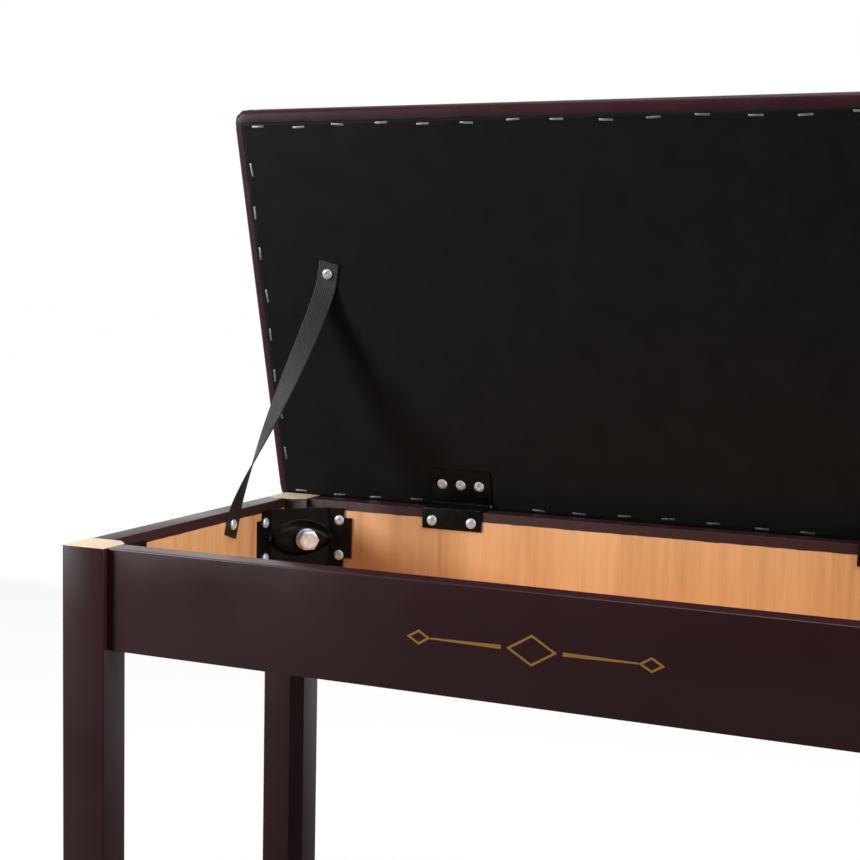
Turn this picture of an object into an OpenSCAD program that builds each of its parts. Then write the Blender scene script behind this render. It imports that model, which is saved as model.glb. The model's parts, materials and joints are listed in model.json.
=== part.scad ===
// Piano bench with a lift-up padded seat over a storage box.
// Millimetres. +X to the right, +Y to the back, +Z up; the front rail faces -Y.
// The origin is on the floor, under the middle of the whole bench as it is drawn, with the seat open.

/* [Frame] */
// Length over the legs
frame_length = 760; // [600:5:1000]
// Depth over the legs
frame_depth = 350; // [300:5:420]
// Height from the floor to the top of the rails, glides included
frame_height = 445; // [380:5:540]
// Width and depth of a leg
leg_size = 38; // [32:1:50]
// Flat planed along the inner corner of a leg, measured along each side
leg_chamfer = 10; // [6:0.5:12]
// Height of the four rails
rail_height = 79; // [70:1:110]
// Thickness of the four rails
rail_thickness = 20; // [16:0.5:24]
// How far the front and rear rails stand back from the outside of the legs
rail_recess = 5; // [2:0.5:8]

/* [Storage box] */
// Thickness of the bottom panel
panel_thickness = 4; // [3:0.5:6]
// Depth of the groove that holds the panel
groove_depth = 5; // [3:0.5:7]
// Underside of the panel above the lower edge of the rails
panel_rise = 8; // [5:1:12]
// Play of the panel in its groove, all round
panel_play = 0.2; // [0.1:0.1:0.5]

/* [Corner brackets] */
// From the inner corner of the box to each bend
bracket_reach = 40; // [36:1:48]
// Width of a flange, from the bend to its outer edge
bracket_flange = 24.5; // [18:0.5:30]
// Height of the bracket
bracket_height = 55; // [44:1:60]
// Top of the bracket below the top of the rails
bracket_drop = 7; // [4:0.5:10]
// Thickness of the pressed steel
bracket_sheet = 2; // [1.5:0.1:2.5]
// Length of the eye-shaped boss pressed out of the bracket
boss_length = 48; // [40:1:52]
// Height of the boss
boss_height = 30; // [26:1:36]
// How far the boss stands out
boss_depth = 8; // [4:0.5:10]

/* [Leg bolts] */
// Diameter of the bolt
bolt_diameter = 10; // [8:1:12]
// Width across the flats of the bolt's head
bolt_flats = 17; // [13:1:19]
// Height of the bolt's head
bolt_head = 6.4; // [5:0.2:8]
// Length of the threaded insert in the leg
insert_length = 25; // [18:1:28]
// Outside diameter of the threaded insert
insert_diameter = 14; // [13:0.5:16]
// Thickness of the spring washer
spring_washer = 2.5; // [1.8:0.1:3]
// Thickness of the flat washer
flat_washer = 2; // [1.5:0.1:2.5]
// Diameter of the flat washer
washer_diameter = 20; // [18:0.5:24]
// Diameter of the spring washer
spring_diameter = 18; // [16:0.5:22]
// Gap where the spring washer is split
spring_split = 2; // [1:0.5:3]

/* [Glides] */
// Diameter of the plastic glide under a leg
glide_diameter = 24; // [18:1:30]
// Height of the glide
glide_height = 5; // [3:0.5:8]
// Length of the nail that holds the glide
glide_nail = 18; // [12:1:25]
// Diameter of the nail
nail_diameter = 3; // [2:0.2:4]
// Bevel round the foot of the glide
glide_bevel = 1; // [0.4:0.1:2]

/* [Seat] */
// Overhang of the seat past the legs at each side
overhang_side = 10; // [4:1:20]
// Overhang of the seat at the front
overhang_front = 16; // [6:1:24]
// Overhang of the seat at the back
overhang_rear = 12; // [6:1:20]
// Thickness of the whole padded seat
seat_thickness = 42; // [36:1:60]
// Thickness of the seat board
board_thickness = 12; // [9:0.5:15]
// Thickness of the vinyl cover
vinyl = 1; // [0.8:0.1:1.4]
// Width of the vinyl turned in under the board
vinyl_hem = 28; // [24:1:40]
// Radius of the seat's edges and corners
edge_radius = 12; // [8:0.5:14]
// Thickness of the dust cover
dust_sheet = 0.4; // [0.3:0.1:0.6]
// Edge of the dust cover, in from the edge of the seat
dust_inset = 10; // [8:0.5:14]
// How far the seat opens, in degrees
open_angle = 75; // [60:1:80]

/* [Staples] */
// Line of the staples, in from the edge of the seat
staple_inset = 14.5; // [13:0.5:22]
// Space from one staple to the next
staple_pitch = 40; // [25:1:60]
// Length of a staple's crown
staple_crown = 12.8; // [8:0.2:14]
// Length of a staple's legs
staple_leg = 8; // [6:0.5:10]
// Width of the flat wire of the staples
staple_width = 1.2; // [0.8:0.1:1.6]
// Thickness of the wire
staple_wire = 0.6; // [0.4:0.1:0.8]
// How far a driven staple stands out of the dust cover
staple_proud = 0.3; // [0.1:0.1:0.5]
// How much the hand-driven staples wander from their line
staple_wander = 1.2; // [0:0.1:2]

/* [Hinges] */
// From the outside of the leg to the near edge of the hinge
hinge_inset = 157; // [90:1:250]
// Width of the hinge
hinge_width = 58; // [45:1:80]
// Thickness of the leaves
leaf_sheet = 1.5; // [1.2:0.1:1.8]
// From the pin to the far edge of the lid leaf
lid_leaf_reach = 33; // [28:1:45]
// From the pin to the row of screws in the lid leaf
lid_screw_reach = 18.5; // [14:0.5:24]
// How far the rail leaf reaches down inside the rail
rail_leaf_drop = 18; // [14:0.5:30]
// Screws of the rail leaf below the top of the rail
rail_screw_drop = 10.5; // [8:0.5:16]
// Radius of the hinge's barrel
barrel_radius = 2.1; // [1.9:0.1:2.2]
// Radius of the hinge pin
pin_radius = 1.1; // [0.9:0.1:1.3]
// Height of the pin above the top of the rail
pin_height = 2.4; // [2.3:0.1:3]
// Number of knuckles in the barrel, shared by the two leaves
knuckles = 5; // [3:2:9]

/* [Straps] */
// Width of the webbing
strap_width = 20; // [15:1:25]
// Thickness of the webbing
strap_sheet = 1.2; // [1:0.1:2]
// Screw in the side rail, behind the front of the legs
strap_rail_place = 216; // [150:1:230]
// Screw in the side rail, below the top of the rail
strap_rail_drop = 12; // [10:1:20]
// Screw in the seat, in from the outside of the legs
strap_seat_inset = 72; // [50:1:120]
// Screw in the seat, from the hinge pin
strap_seat_reach = 215.6; // [150:1:260]

/* [Screws] */
// Diameter of the screws' heads
screw_head = 9.5; // [7:0.5:11]
// Height of the screws' heads
screw_rise = 2.4; // [1.8:0.1:3.5]
// Height of the low heads on the hinges' lid leaves
low_rise = 1.2; // [0.8:0.1:1.3]
// Diameter of the screws' shanks
screw_shank = 4; // [3:0.1:5]
// Play of a screw in the hole of a bracket, leaf or strap
screw_play = 0.3; // [0.2:0.1:0.6]
// From the bend of a bracket to its screws
bracket_screw_place = 12.5; // [8:0.5:16]
// Height between the two screws in a flange
bracket_screw_spread = 33; // [26:1:40]
// Notch in the corners of a flange
bracket_notch = 8.5; // [4:0.5:9]
// How deep the screws bite into the rails
rail_bite = 12; // [8:1:15]
// How deep the screws bite into the seat board
seat_bite = 9; // [6:0.5:11]
// Space between the outer screws of a lid leaf
lid_screw_spread = 36.5; // [26:0.5:44]
// Space between the two screws of a rail leaf
rail_screw_spread = 38.5; // [26:0.5:44]

/* [Hidden] */
$fn = 48;
sliver = 0.01;

// Colours
paint = [0.23, 0.13, 0.15];
raw_wood = [0.86, 0.68, 0.48];
black_steel = [0.06, 0.06, 0.07];
zinc = [0.75, 0.76, 0.78];
webbing = [0.09, 0.09, 0.10];

// The hinge pin, and the seat measured from it as it lies closed: forwards, backwards and up
pin_back = frame_depth - pin_height;
seat_forward = pin_back + overhang_front;
seat_rearward = pin_height + overhang_rear;
seat_half = frame_length / 2 + overhang_side;
seat_top = pin_height + seat_thickness;
hem_floor = pin_height + dust_sheet;
board_floor = hem_floor + vinyl;

// The open seat's rounded rear edge is the rearmost place of the bench
rearmost = (seat_rearward - edge_radius) * cos(open_angle)
         + (seat_top - edge_radius) * sin(open_angle) + edge_radius;
front = -(pin_back + rearmost) / 2;
back = front + frame_depth;
pin_y = front + pin_back;

// Rails and the inside of the box
rail_top = frame_height;
rail_floor = rail_top - rail_height;
leg_half = frame_length / 2;
inner_x = leg_half - rail_thickness;
front_wall = front + rail_recess + rail_thickness;
back_wall = back - rail_recess - rail_thickness;
groove_floor = rail_floor + panel_rise;

// The bolt's axis runs at 45 degrees through the middle of the leg
// and crosses the bracket off its middle by the rails' recess.
bolt_shift = rail_recess / sqrt(2);
bracket_middle = rail_top - bracket_drop - bracket_height / 2;
leg_gap = (2 * rail_thickness + rail_recess + bracket_reach + leg_chamfer - 2 * leg_size) / sqrt(2);
boss_top = bracket_sheet + boss_depth;
head_floor = boss_top + flat_washer + spring_washer;
hole_play = 0.3;
thread_play = 0.05;
bolt_tail = 2;

// Hinges
hinge_place = leg_half - hinge_inset - hinge_width / 2;
knuckle = hinge_width / knuckles;
knuckle_gap = 0.3;
leaf_gap = 0.4;
running_play = 0.08;

// Seat
least_round = 1;
slab = 1;

// Straps
strap_gap = 0.2;
strap_tail = 11;
strap_flat = 7;
strap_handle = 34;
strap_haste = 0.6;
strap_steps = 30;
strap_face = strap_gap + strap_sheet / 2;
head_seat = 2 * strap_gap + strap_sheet;
rail_screw_point = [-inner_x, front + strap_rail_place, rail_top - strap_rail_drop];
seat_normal = [0, -sin(open_angle), -cos(open_angle)];
seat_screw_point = [
    -leg_half + strap_seat_inset,
    pin_y - strap_seat_reach * cos(open_angle) + pin_height * sin(open_angle),
    rail_top + pin_height + strap_seat_reach * sin(open_angle) + pin_height * cos(open_angle)
];

function unit(v) = v / norm(v);
function along(v, normal) = unit(v - (v * normal) * normal);
function ease(t) = t * t * (3 - 2 * t);
function bezier(a, b, c, d, t) =
    a * pow(1 - t, 3) + 3 * b * t * pow(1 - t, 2) + 3 * c * t * t * (1 - t) + d * pow(t, 3);

// ---- placing ----

// Local corner: the origin is the box's inner corner at the middle of the brackets' height,
// with +X and +Y into the box
module at_corner(side, end) {
    translate([side * inner_x, end > 0 ? back_wall : front_wall, bracket_middle])
        mirror([side > 0 ? 1 : 0, 0, 0]) mirror([0, end > 0 ? 1 : 0, 0]) children();
}

module at_corners() {
    for (side = [-1, 1], end = [-1, 1]) at_corner(side, end) children();
}

// The bolt's line in a corner, with +Z out of the bracket's back into the box
module on_bolt_line() {
    translate([bracket_reach / 2 + bolt_shift / sqrt(2), bracket_reach / 2 - bolt_shift / sqrt(2), 0])
        rotate([0, 90, 45]) children();
}

// The seat's own frame: the origin is on the hinge pin and -Y points to the front edge when closed
module on_seat() {
    translate([0, pin_y, rail_top + pin_height]) rotate([-open_angle, 0, 0]) children();
}

module both_sides() {
    for (side = [0, 1]) mirror([side, 0, 0]) children();
}

// ---- shared shapes ----

// A screw with its head's underside at z = 0 and its shank down -Z
module screw(rise, reach) {
    ball = (screw_head * screw_head / 4 + rise * rise) / (2 * rise);
    intersection() {
        translate([0, 0, rise - ball]) sphere(ball);
        cylinder(h = rise, d = screw_head + 1);
    }
    translate([0, 0, -reach]) cylinder(h = reach + sliver, d = screw_shank, $fn = 24);
}

module ring(height, outside, inside) {
    difference() {
        cylinder(h = height, d = outside);
        translate([0, 0, -1]) cylinder(h = height + 2, d = inside);
    }
}

// ---- legs ----

module leg(side, end) {
    color(paint) difference() {
        translate([side > 0 ? leg_half - leg_size : -leg_half,
                   end > 0 ? back - leg_size : front, glide_height])
            cube([leg_size, leg_size, frame_height - glide_height]);
        at_corner(side, end) {
            // the inner corner planed flat
            on_bolt_line() translate([-frame_height, -leg_size, -leg_gap])
                cube([2 * frame_height, 2 * leg_size, leg_size]);
            on_bolt_line() translate([0, 0, -leg_gap - insert_length])
                cylinder(h = insert_length + 1, d = insert_diameter);
        }
    }
}

module leg_inserts() {
    color(zinc) at_corners() on_bolt_line() translate([0, 0, -leg_gap - insert_length])
        ring(insert_length, insert_diameter, bolt_diameter + 2 * thread_play);
}

module leg_glides() {
    color([0.15, 0.15, 0.16])
    for (side = [-1, 1], y = [front + leg_size / 2, back - leg_size / 2])
        translate([side * (leg_half - leg_size / 2), y, 0]) {
            cylinder(h = glide_bevel, d1 = glide_diameter - 2 * glide_bevel, d2 = glide_diameter);
            translate([0, 0, glide_bevel])
                cylinder(h = glide_height - glide_bevel, d = glide_diameter);
            translate([0, 0, glide_height - sliver])
                cylinder(h = glide_nail, d = nail_diameter, $fn = 24);
        }
}

// ---- rails and panel ----

module groove(size) {
    translate([-size[0] / 2, -size[1] / 2, groove_floor]) cube(size);
}

module long_rail(end) {
    wall = end > 0 ? back_wall : front_wall - rail_thickness;
    length = frame_length - 2 * leg_size;
    color(paint) difference() {
        translate([-length / 2, wall, rail_floor]) cube([length, rail_thickness, rail_height]);
        translate([0, end > 0 ? back_wall : front_wall, 0])
            groove([length + 2, 2 * groove_depth, panel_thickness + panel_play]);
    }
}

module side_rail(side) {
    length = frame_depth - 2 * leg_size;
    color(paint) difference() {
        translate([side > 0 ? inner_x : -leg_half, front + leg_size, rail_floor])
            cube([rail_thickness, length, rail_height]);
        translate([side * inner_x, front + frame_depth / 2, 0])
            groove([2 * groove_depth, length + 2, panel_thickness + panel_play]);
    }
}

module bottom_panel() {
    width = 2 * (inner_x + groove_depth - panel_play);
    near = front_wall - groove_depth + panel_play;
    depth = back_wall + groove_depth - panel_play - near;
    notch = leg_size + panel_play;
    color(raw_wood) difference() {
        translate([-width / 2, near, groove_floor]) cube([width, depth, panel_thickness]);
        for (side = [-1, 1], y = [front, back - notch])
            translate([side > 0 ? leg_half - notch : -leg_half, y, groove_floor - 1])
                cube([notch, notch, panel_thickness + 2]);
    }
}

// ---- corner brackets ----

// A lens with pointed ends, of half-length a and half-height b
module eye(a, b) {
    round = (a * a + b * b) / (2 * b);
    intersection() {
        translate([b - round, 0]) circle(round, $fn = 96);
        translate([round - b, 0]) circle(round, $fn = 96);
    }
}

module bracket(side, end) {
    bend = bracket_sheet * (sqrt(2) - 1);
    rim = bracket_reach + bracket_flange;
    half = bracket_height / 2;
    color(black_steel) at_corner(side, end) difference() {
        union() {
            translate([0, 0, -half]) linear_extrude(bracket_height) polygon([
                [rim, 0], [bracket_reach, 0], [0, bracket_reach], [0, rim],
                [bracket_sheet, rim], [bracket_sheet, bracket_reach + bend],
                [bracket_reach + bend, bracket_sheet], [rim, bracket_sheet]
            ]);
            on_bolt_line() linear_extrude(boss_top) eye(boss_length / 2, boss_height / 2);
        }
        on_bolt_line() translate([0, 0, -1]) linear_extrude(boss_depth + 1)
            eye(boss_length / 2 - 2 * bracket_sheet, boss_height / 2 - bracket_sheet);
        on_bolt_line() cylinder(h = boss_top + 1, d = bolt_diameter + 2 * hole_play);
        for (turn = [0, 1]) mirror([turn, -turn, 0]) for (level = [-1, 1]) {
            translate([rim - bracket_notch, -1, level * half - bracket_notch])
                cube([bracket_notch + 1, bracket_sheet + 2, 2 * bracket_notch]);
            translate([bracket_reach + bracket_screw_place, -1, level * bracket_screw_spread / 2])
                rotate([-90, 0, 0]) cylinder(h = bracket_sheet + 2, d = screw_shank + 2 * screw_play);
        }
    }
}

module bracket_screws() {
    color(zinc) at_corners() for (turn = [0, 1], level = [-1, 1])
        mirror([turn, -turn, 0])
            translate([bracket_reach + bracket_screw_place, bracket_sheet,
                       level * bracket_screw_spread / 2])
                rotate([-90, 0, 0]) screw(screw_rise, bracket_sheet + rail_bite);
}

module leg_bolts() {
    reach = head_floor + leg_gap + insert_length - bolt_tail;
    color(zinc) at_corners() on_bolt_line() {
        translate([0, 0, head_floor])
            cylinder(h = bolt_head, d = bolt_flats / cos(30), $fn = 6);
        translate([0, 0, head_floor - reach]) cylinder(h = reach + sliver, d = bolt_diameter);
    }
}

module flat_washers() {
    color(zinc) at_corners() on_bolt_line() translate([0, 0, boss_top])
        ring(flat_washer, washer_diameter, bolt_diameter + 2 * hole_play);
}

// Each spring washer is split by a narrow slot
module spring_washers() {
    color(zinc) at_corners() on_bolt_line() translate([0, 0, boss_top + flat_washer])
        difference() {
            ring(spring_washer, spring_diameter, bolt_diameter + 2 * hole_play);
            translate([0, -spring_split / 2, -1])
                cube([spring_diameter, spring_split, spring_washer + 2]);
        }
}

// ---- hinges ----

// Barrel pieces of one leaf: every second knuckle along the pin
module knuckle_row(first) {
    for (k = [first : 2 : knuckles - 1])
        translate([k * knuckle - hinge_width / 2 + knuckle_gap / 2, 0, 0]) children();
}

module barrel_bore(bore) {
    rotate([0, 90, 0]) cylinder(h = hinge_width + 2, r = bore, center = true);
}

module knuckle_with_tab(level) {
    rotate([0, 90, 0]) cylinder(h = knuckle - knuckle_gap, r = barrel_radius);
    translate([0, -barrel_radius - leaf_gap - sliver, level])
        cube([knuckle - knuckle_gap, barrel_radius + leaf_gap, leaf_sheet]);
}

module hinge_rail_leaf(side) {
    reach = pin_y - back_wall + leaf_sheet;
    color(black_steel) translate([side * hinge_place, pin_y, rail_top + pin_height]) difference() {
        union() {
            translate([-hinge_width / 2, -reach, -pin_height])
                cube([hinge_width, reach - barrel_radius - leaf_gap, leaf_sheet]);
            translate([-hinge_width / 2, -reach, -pin_height - rail_leaf_drop])
                cube([hinge_width, leaf_sheet, rail_leaf_drop + sliver]);
            knuckle_row(0) knuckle_with_tab(-pin_height);
        }
        barrel_bore(pin_radius);
        for (place = [-1, 1])
            translate([place * rail_screw_spread / 2, -reach - 1, -pin_height - rail_screw_drop])
                rotate([-90, 0, 0]) cylinder(h = leaf_sheet + 2, d = screw_shank + 2 * screw_play);
    }
}

module hinge_lid_leaf(side) {
    color(black_steel) on_seat() translate([side * hinge_place, 0, 0]) difference() {
        union() {
            translate([-hinge_width / 2, -lid_leaf_reach, pin_height - leaf_sheet])
                cube([hinge_width, lid_leaf_reach - barrel_radius - leaf_gap, leaf_sheet]);
            knuckle_row(1) knuckle_with_tab(pin_height - leaf_sheet);
        }
        barrel_bore(pin_radius + running_play);
        for (place = [-1, 0, 1])
            translate([place * lid_screw_spread / 2, -lid_screw_reach, 0])
                cylinder(h = pin_height + 1, d = screw_shank + 2 * screw_play);
    }
}

module hinge_pin(side) {
    color(zinc) translate([side * hinge_place, pin_y, rail_top + pin_height])
        rotate([0, 90, 0]) cylinder(h = hinge_width, r = pin_radius, center = true);
}

module rail_leaf_screws() {
    color(zinc) for (side = [-1, 1], place = [-1, 1])
        translate([side * hinge_place + place * rail_screw_spread / 2,
                   back_wall - leaf_sheet, rail_top - rail_screw_drop])
            rotate([90, 0, 0]) screw(screw_rise, leaf_sheet + rail_bite);
}

module lid_leaf_screws() {
    color(zinc) on_seat() for (side = [-1, 1], place = [-1, 0, 1])
        translate([side * hinge_place + place * lid_screw_spread / 2, -lid_screw_reach,
                   pin_height - leaf_sheet])
            rotate([180, 0, 0])
                screw(low_rise, leaf_sheet + dust_sheet + vinyl + seat_bite);
}

// ---- straps ----

// The left strap, from its tail under the rail's screw to its tail past the seat's screw.
// Each station is a centre, a direction of width and a direction of thickness.
strap_start = rail_screw_point + [strap_face, 0, 0];
strap_end = seat_screw_point + strap_face * seat_normal;
strap_run = strap_end - strap_start;
start_way = along(strap_run, [1, 0, 0]);
end_way = along(strap_run, seat_normal);
// The webbing lies flat a little way past each screw before it turns
strap_leave = strap_start + strap_flat * start_way;
strap_arrive = strap_end - strap_flat * end_way;

function strap_centre(t) =
    t < 0 ? strap_leave + t * (strap_flat + strap_tail) * start_way :
    t > 1 ? strap_arrive + (t - 1) * (strap_flat + strap_tail) * end_way :
    bezier(strap_leave, strap_leave + strap_handle * start_way,
           strap_arrive - strap_handle * end_way, strap_arrive, t);
function strap_way(t) =
    t <= 0 ? start_way : t >= 1 ? end_way :
    unit(strap_centre(min(1, t + sliver)) - strap_centre(max(0, t - sliver)));
// The face that looks away from the rail ends up lying on the seat, and most of the turn is low down
function strap_normal(t) =
    let (turn = ease(pow(min(1, max(0, t)), strap_haste)))
    along((1 - turn) * [1, 0, 0] - turn * seat_normal, strap_way(t));

module left_strap() {
    stations = concat([-1], [for (i = [0 : strap_steps]) i / strap_steps], [2]);
    rings = [for (t = stations)
        let (c = strap_centre(t), n = strap_normal(t) * strap_sheet / 2,
             w = cross(strap_normal(t), strap_way(t)) * strap_width / 2)
        [c - w - n, c + w - n, c + w + n, c - w + n]];
    last = len(rings) - 1;
    difference() {
        polyhedron(
            points = [for (ring = rings, p = ring) p],
            faces = concat([[0, 1, 2, 3]],
                [for (i = [0 : last - 1], k = [0 : 3], half = [0, 1])
                    let (a = 4 * i + k, b = 4 * i + (k + 1) % 4)
                    half == 0 ? [a, a + 4, b] : [b, a + 4, b + 4]],
                [[4 * last + 3, 4 * last + 2, 4 * last + 1, 4 * last]]));
        translate(rail_screw_point) rotate([0, 90, 0])
            cylinder(h = 3 * strap_sheet, d = screw_shank + 2 * screw_play, $fn = 24);
        translate(seat_screw_point) rotate([180 - open_angle, 0, 0])
            cylinder(h = 3 * strap_sheet, d = screw_shank + 2 * screw_play, $fn = 24);
    }
}

module strap(side) {
    color(webbing) mirror([side > 0 ? 1 : 0, 0, 0]) left_strap();
}

module strap_rail_screws() {
    color(zinc) both_sides() translate(rail_screw_point + [head_seat, 0, 0])
        rotate([0, 90, 0]) screw(screw_rise, head_seat + rail_bite);
}

module strap_seat_screws() {
    color(zinc) on_seat() both_sides()
        translate([-leg_half + strap_seat_inset, -strap_seat_reach, pin_height - head_seat])
            rotate([180, 0, 0]) screw(screw_rise, head_seat + dust_sheet + vinyl + seat_bite);
}

// ---- seat, in its own frame ----

// Outline of the seat at a distance in from its edge, with corners that are never quite sharp
module seat_outline(inset, height) {
    round = max(edge_radius - inset, least_round);
    x = seat_half - inset - round;
    linear_extrude(height) hull()
        for (side = [-1, 1], y = [-seat_forward + inset + round, seat_rearward - inset - round])
            translate([side * x, y]) circle(round, $fn = 32);
}

// The padded block at a distance in from its skin: square below, rounded on top
module seat_block(inset) {
    round = edge_radius - inset;
    x = seat_half - edge_radius;
    hull() {
        translate([0, 0, hem_floor + inset]) seat_outline(inset, slab);
        for (side = [-1, 1], y = [-seat_forward + edge_radius, seat_rearward - edge_radius])
            translate([side * x, y, seat_top - edge_radius])
                rotate_extrude($fn = 32) intersection() {
                    circle(round, $fn = 32);
                    translate([0, -round]) square([round, 2 * round]);
                }
    }
}

module seat_board() {
    color(raw_wood) on_seat() translate([0, 0, board_floor]) seat_outline(vinyl, board_thickness);
}

module seat_foam() {
    color([0.93, 0.88, 0.70]) on_seat() difference() {
        seat_block(vinyl);
        translate([-seat_half, -seat_forward, 0])
            cube([2 * seat_half, seat_forward + seat_rearward, board_floor + board_thickness]);
    }
}

module seat_cover() {
    color([0.25, 0.14, 0.17]) on_seat() difference() {
        seat_block(0);
        seat_block(vinyl);
        seat_outline(vinyl_hem, board_floor + 1);
    }
}

module dust_cover() {
    color([0.08, 0.08, 0.08]) on_seat() translate([0, 0, pin_height])
        seat_outline(dust_inset, dust_sheet);
}

// One staple across X, its crown standing a little out of the dust cover
module staple() {
    translate([-staple_crown / 2, -staple_width / 2, pin_height - staple_proud]) {
        cube([staple_crown, staple_width, staple_wire]);
        for (x = [0, staple_crown - staple_wire])
            translate([x, 0, 0]) cube([staple_wire, staple_width, staple_leg]);
    }
}

module staples() {
    across = seat_half - staple_inset;
    near = -seat_forward + staple_inset;
    far = seat_rearward - staple_inset;
    columns = round(2 * (across - staple_crown) / staple_pitch);
    rows = round((far - near) / staple_pitch);
    hinge_clear = (hinge_width + staple_crown) / 2 + staple_wander;
    color(zinc) on_seat() {
        for (i = [0 : columns]) {
            x = (2 * i / columns - 1) * (across - staple_crown) + staple_wander * sin(140 * i);
            translate([x, near + staple_wander * sin(100 * i), 0])
                rotate([0, 0, 3 * staple_wander * sin(230 * i)]) staple();
            if (abs(abs(x) - hinge_place) > hinge_clear)
                translate([x, far + staple_wander * sin(70 * i), 0])
                    rotate([0, 0, 3 * staple_wander * sin(310 * i)]) staple();
        }
        for (side = [-1, 1], i = [1 : rows - 1])
            translate([side * across + staple_wander * sin(110 * i),
                       near + (far - near) * i / rows + staple_wander * sin(190 * i), 0])
                rotate([0, 0, 90 + 3 * staple_wander * sin(250 * i)]) staple();
    }
}

leg(-1, -1);  // leg_front_left
leg(1, -1);  // leg_front_right
leg(-1, 1);  // leg_rear_left
leg(1, 1);  // leg_rear_right
long_rail(-1);  // front_rail
long_rail(1);  // rear_rail
side_rail(-1);  // left_rail
side_rail(1);  // right_rail
bottom_panel();
bracket(-1, -1);  // bracket_front_left
bracket(1, -1);  // bracket_front_right
bracket(-1, 1);  // bracket_rear_left
bracket(1, 1);  // bracket_rear_right
leg_inserts();
leg_bolts();
spring_washers();
flat_washers();
bracket_screws();
leg_glides();
hinge_rail_leaf(-1);  // hinge_rail_leaf_left
hinge_rail_leaf(1);  // hinge_rail_leaf_right
hinge_pin(-1);  // hinge_pin_left
hinge_pin(1);  // hinge_pin_right
rail_leaf_screws();
strap(-1);  // strap_left
strap(1);  // strap_right
strap_rail_screws();
seat_board();
seat_foam();
seat_cover();
dust_cover();
staples();
hinge_lid_leaf(-1);  // hinge_lid_leaf_left
hinge_lid_leaf(1);  // hinge_lid_leaf_right
lid_leaf_screws();
strap_seat_screws();
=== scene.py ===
import json
import math

import bpy
import numpy as np
from mathutils import Matrix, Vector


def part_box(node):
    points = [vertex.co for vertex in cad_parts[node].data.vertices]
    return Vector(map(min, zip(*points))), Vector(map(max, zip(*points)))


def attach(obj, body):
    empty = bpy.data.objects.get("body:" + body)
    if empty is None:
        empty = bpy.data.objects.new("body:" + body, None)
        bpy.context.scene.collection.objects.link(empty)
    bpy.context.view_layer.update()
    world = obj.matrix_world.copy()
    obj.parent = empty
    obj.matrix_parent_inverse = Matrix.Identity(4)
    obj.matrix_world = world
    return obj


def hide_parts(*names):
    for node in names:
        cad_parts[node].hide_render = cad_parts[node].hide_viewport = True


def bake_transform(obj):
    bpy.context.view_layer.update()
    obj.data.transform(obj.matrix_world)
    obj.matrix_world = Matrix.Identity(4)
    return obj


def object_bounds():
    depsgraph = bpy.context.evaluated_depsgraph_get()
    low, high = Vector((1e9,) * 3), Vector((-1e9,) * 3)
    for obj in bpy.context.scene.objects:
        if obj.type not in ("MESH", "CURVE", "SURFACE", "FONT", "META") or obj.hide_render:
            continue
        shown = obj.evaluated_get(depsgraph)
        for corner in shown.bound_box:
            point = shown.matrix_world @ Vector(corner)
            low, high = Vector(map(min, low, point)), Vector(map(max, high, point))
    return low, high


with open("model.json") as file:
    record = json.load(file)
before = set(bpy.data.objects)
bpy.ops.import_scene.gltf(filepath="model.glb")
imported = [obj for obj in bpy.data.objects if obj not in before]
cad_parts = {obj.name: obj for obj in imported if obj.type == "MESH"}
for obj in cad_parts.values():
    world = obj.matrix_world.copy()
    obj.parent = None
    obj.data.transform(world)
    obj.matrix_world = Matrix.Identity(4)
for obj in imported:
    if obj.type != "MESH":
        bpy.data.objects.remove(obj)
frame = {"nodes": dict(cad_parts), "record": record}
cad_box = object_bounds()

# ---- Camera -----------------------------------------------------------------------------------
# A long lens stands in front and a little to the right of the bench, just above the open box,
# and looks slightly down into it.
MM = 0.001
camera_place = (0.3432, -1.1519, 0.6489)
camera_turn, camera_dip, camera_roll = np.radians([23.644, 5.397, 1.192])
ahead = np.array([-math.sin(camera_turn) * math.cos(camera_dip),
                  math.cos(camera_turn) * math.cos(camera_dip), -math.sin(camera_dip)])
sideways = np.array([math.cos(camera_turn), math.sin(camera_turn), 0])
upright = np.cross(sideways, ahead)
across_view = math.cos(camera_roll) * sideways + math.sin(camera_roll) * upright
up_view = math.cos(camera_roll) * upright - math.sin(camera_roll) * sideways
camera = bpy.data.objects.new("camera", bpy.data.cameras.new("camera"))
camera.data.lens = 64.69
camera.data.sensor_width = 36
camera.data.clip_end = 60
camera_axes = np.column_stack([across_view, up_view, -ahead, camera_place])
camera.matrix_world = Matrix(np.vstack([camera_axes, [0, 0, 0, 1]]).tolist())
bpy.context.scene.collection.objects.link(camera)
bpy.context.scene.camera = camera
bpy.context.scene.view_settings.view_transform = "Standard"


# ---- Floor and light --------------------------------------------------------------------------
# A pale floor runs back to white studio walls. Both glow evenly to the camera, but light the bench
# mainly from behind. A soft light stands low at the left front, one at the right and one overhead.
def new_material(name, **constants):
    """A material with its shader's constant sockets set; an underscore stands for a space."""
    made = bpy.data.materials.new(name)
    made.use_nodes = True
    for socket, value in constants.items():
        made.node_tree.nodes["Principled BSDF"].inputs[socket.replace("_", " ")].default_value = value
    return made


def node(made, kind, inputs=(), **settings):
    """Adds a node to a material or to the walls; inputs pairs a socket with a value or with another
    node's output."""
    added = made.node_tree.nodes.new("ShaderNode" + kind)
    for name, value in settings.items():
        setattr(added, name, value)
    for socket, value in dict(inputs).items():
        if isinstance(value, bpy.types.NodeSocket):
            made.node_tree.links.new(value, added.inputs[socket])
        else:
            added.inputs[socket].default_value = value
    return added


def into_shader(made, socket, output):
    """Leads an output into one of the shader's sockets."""
    made.node_tree.links.new(output, made.node_tree.nodes["Principled BSDF"].inputs[socket])


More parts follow.
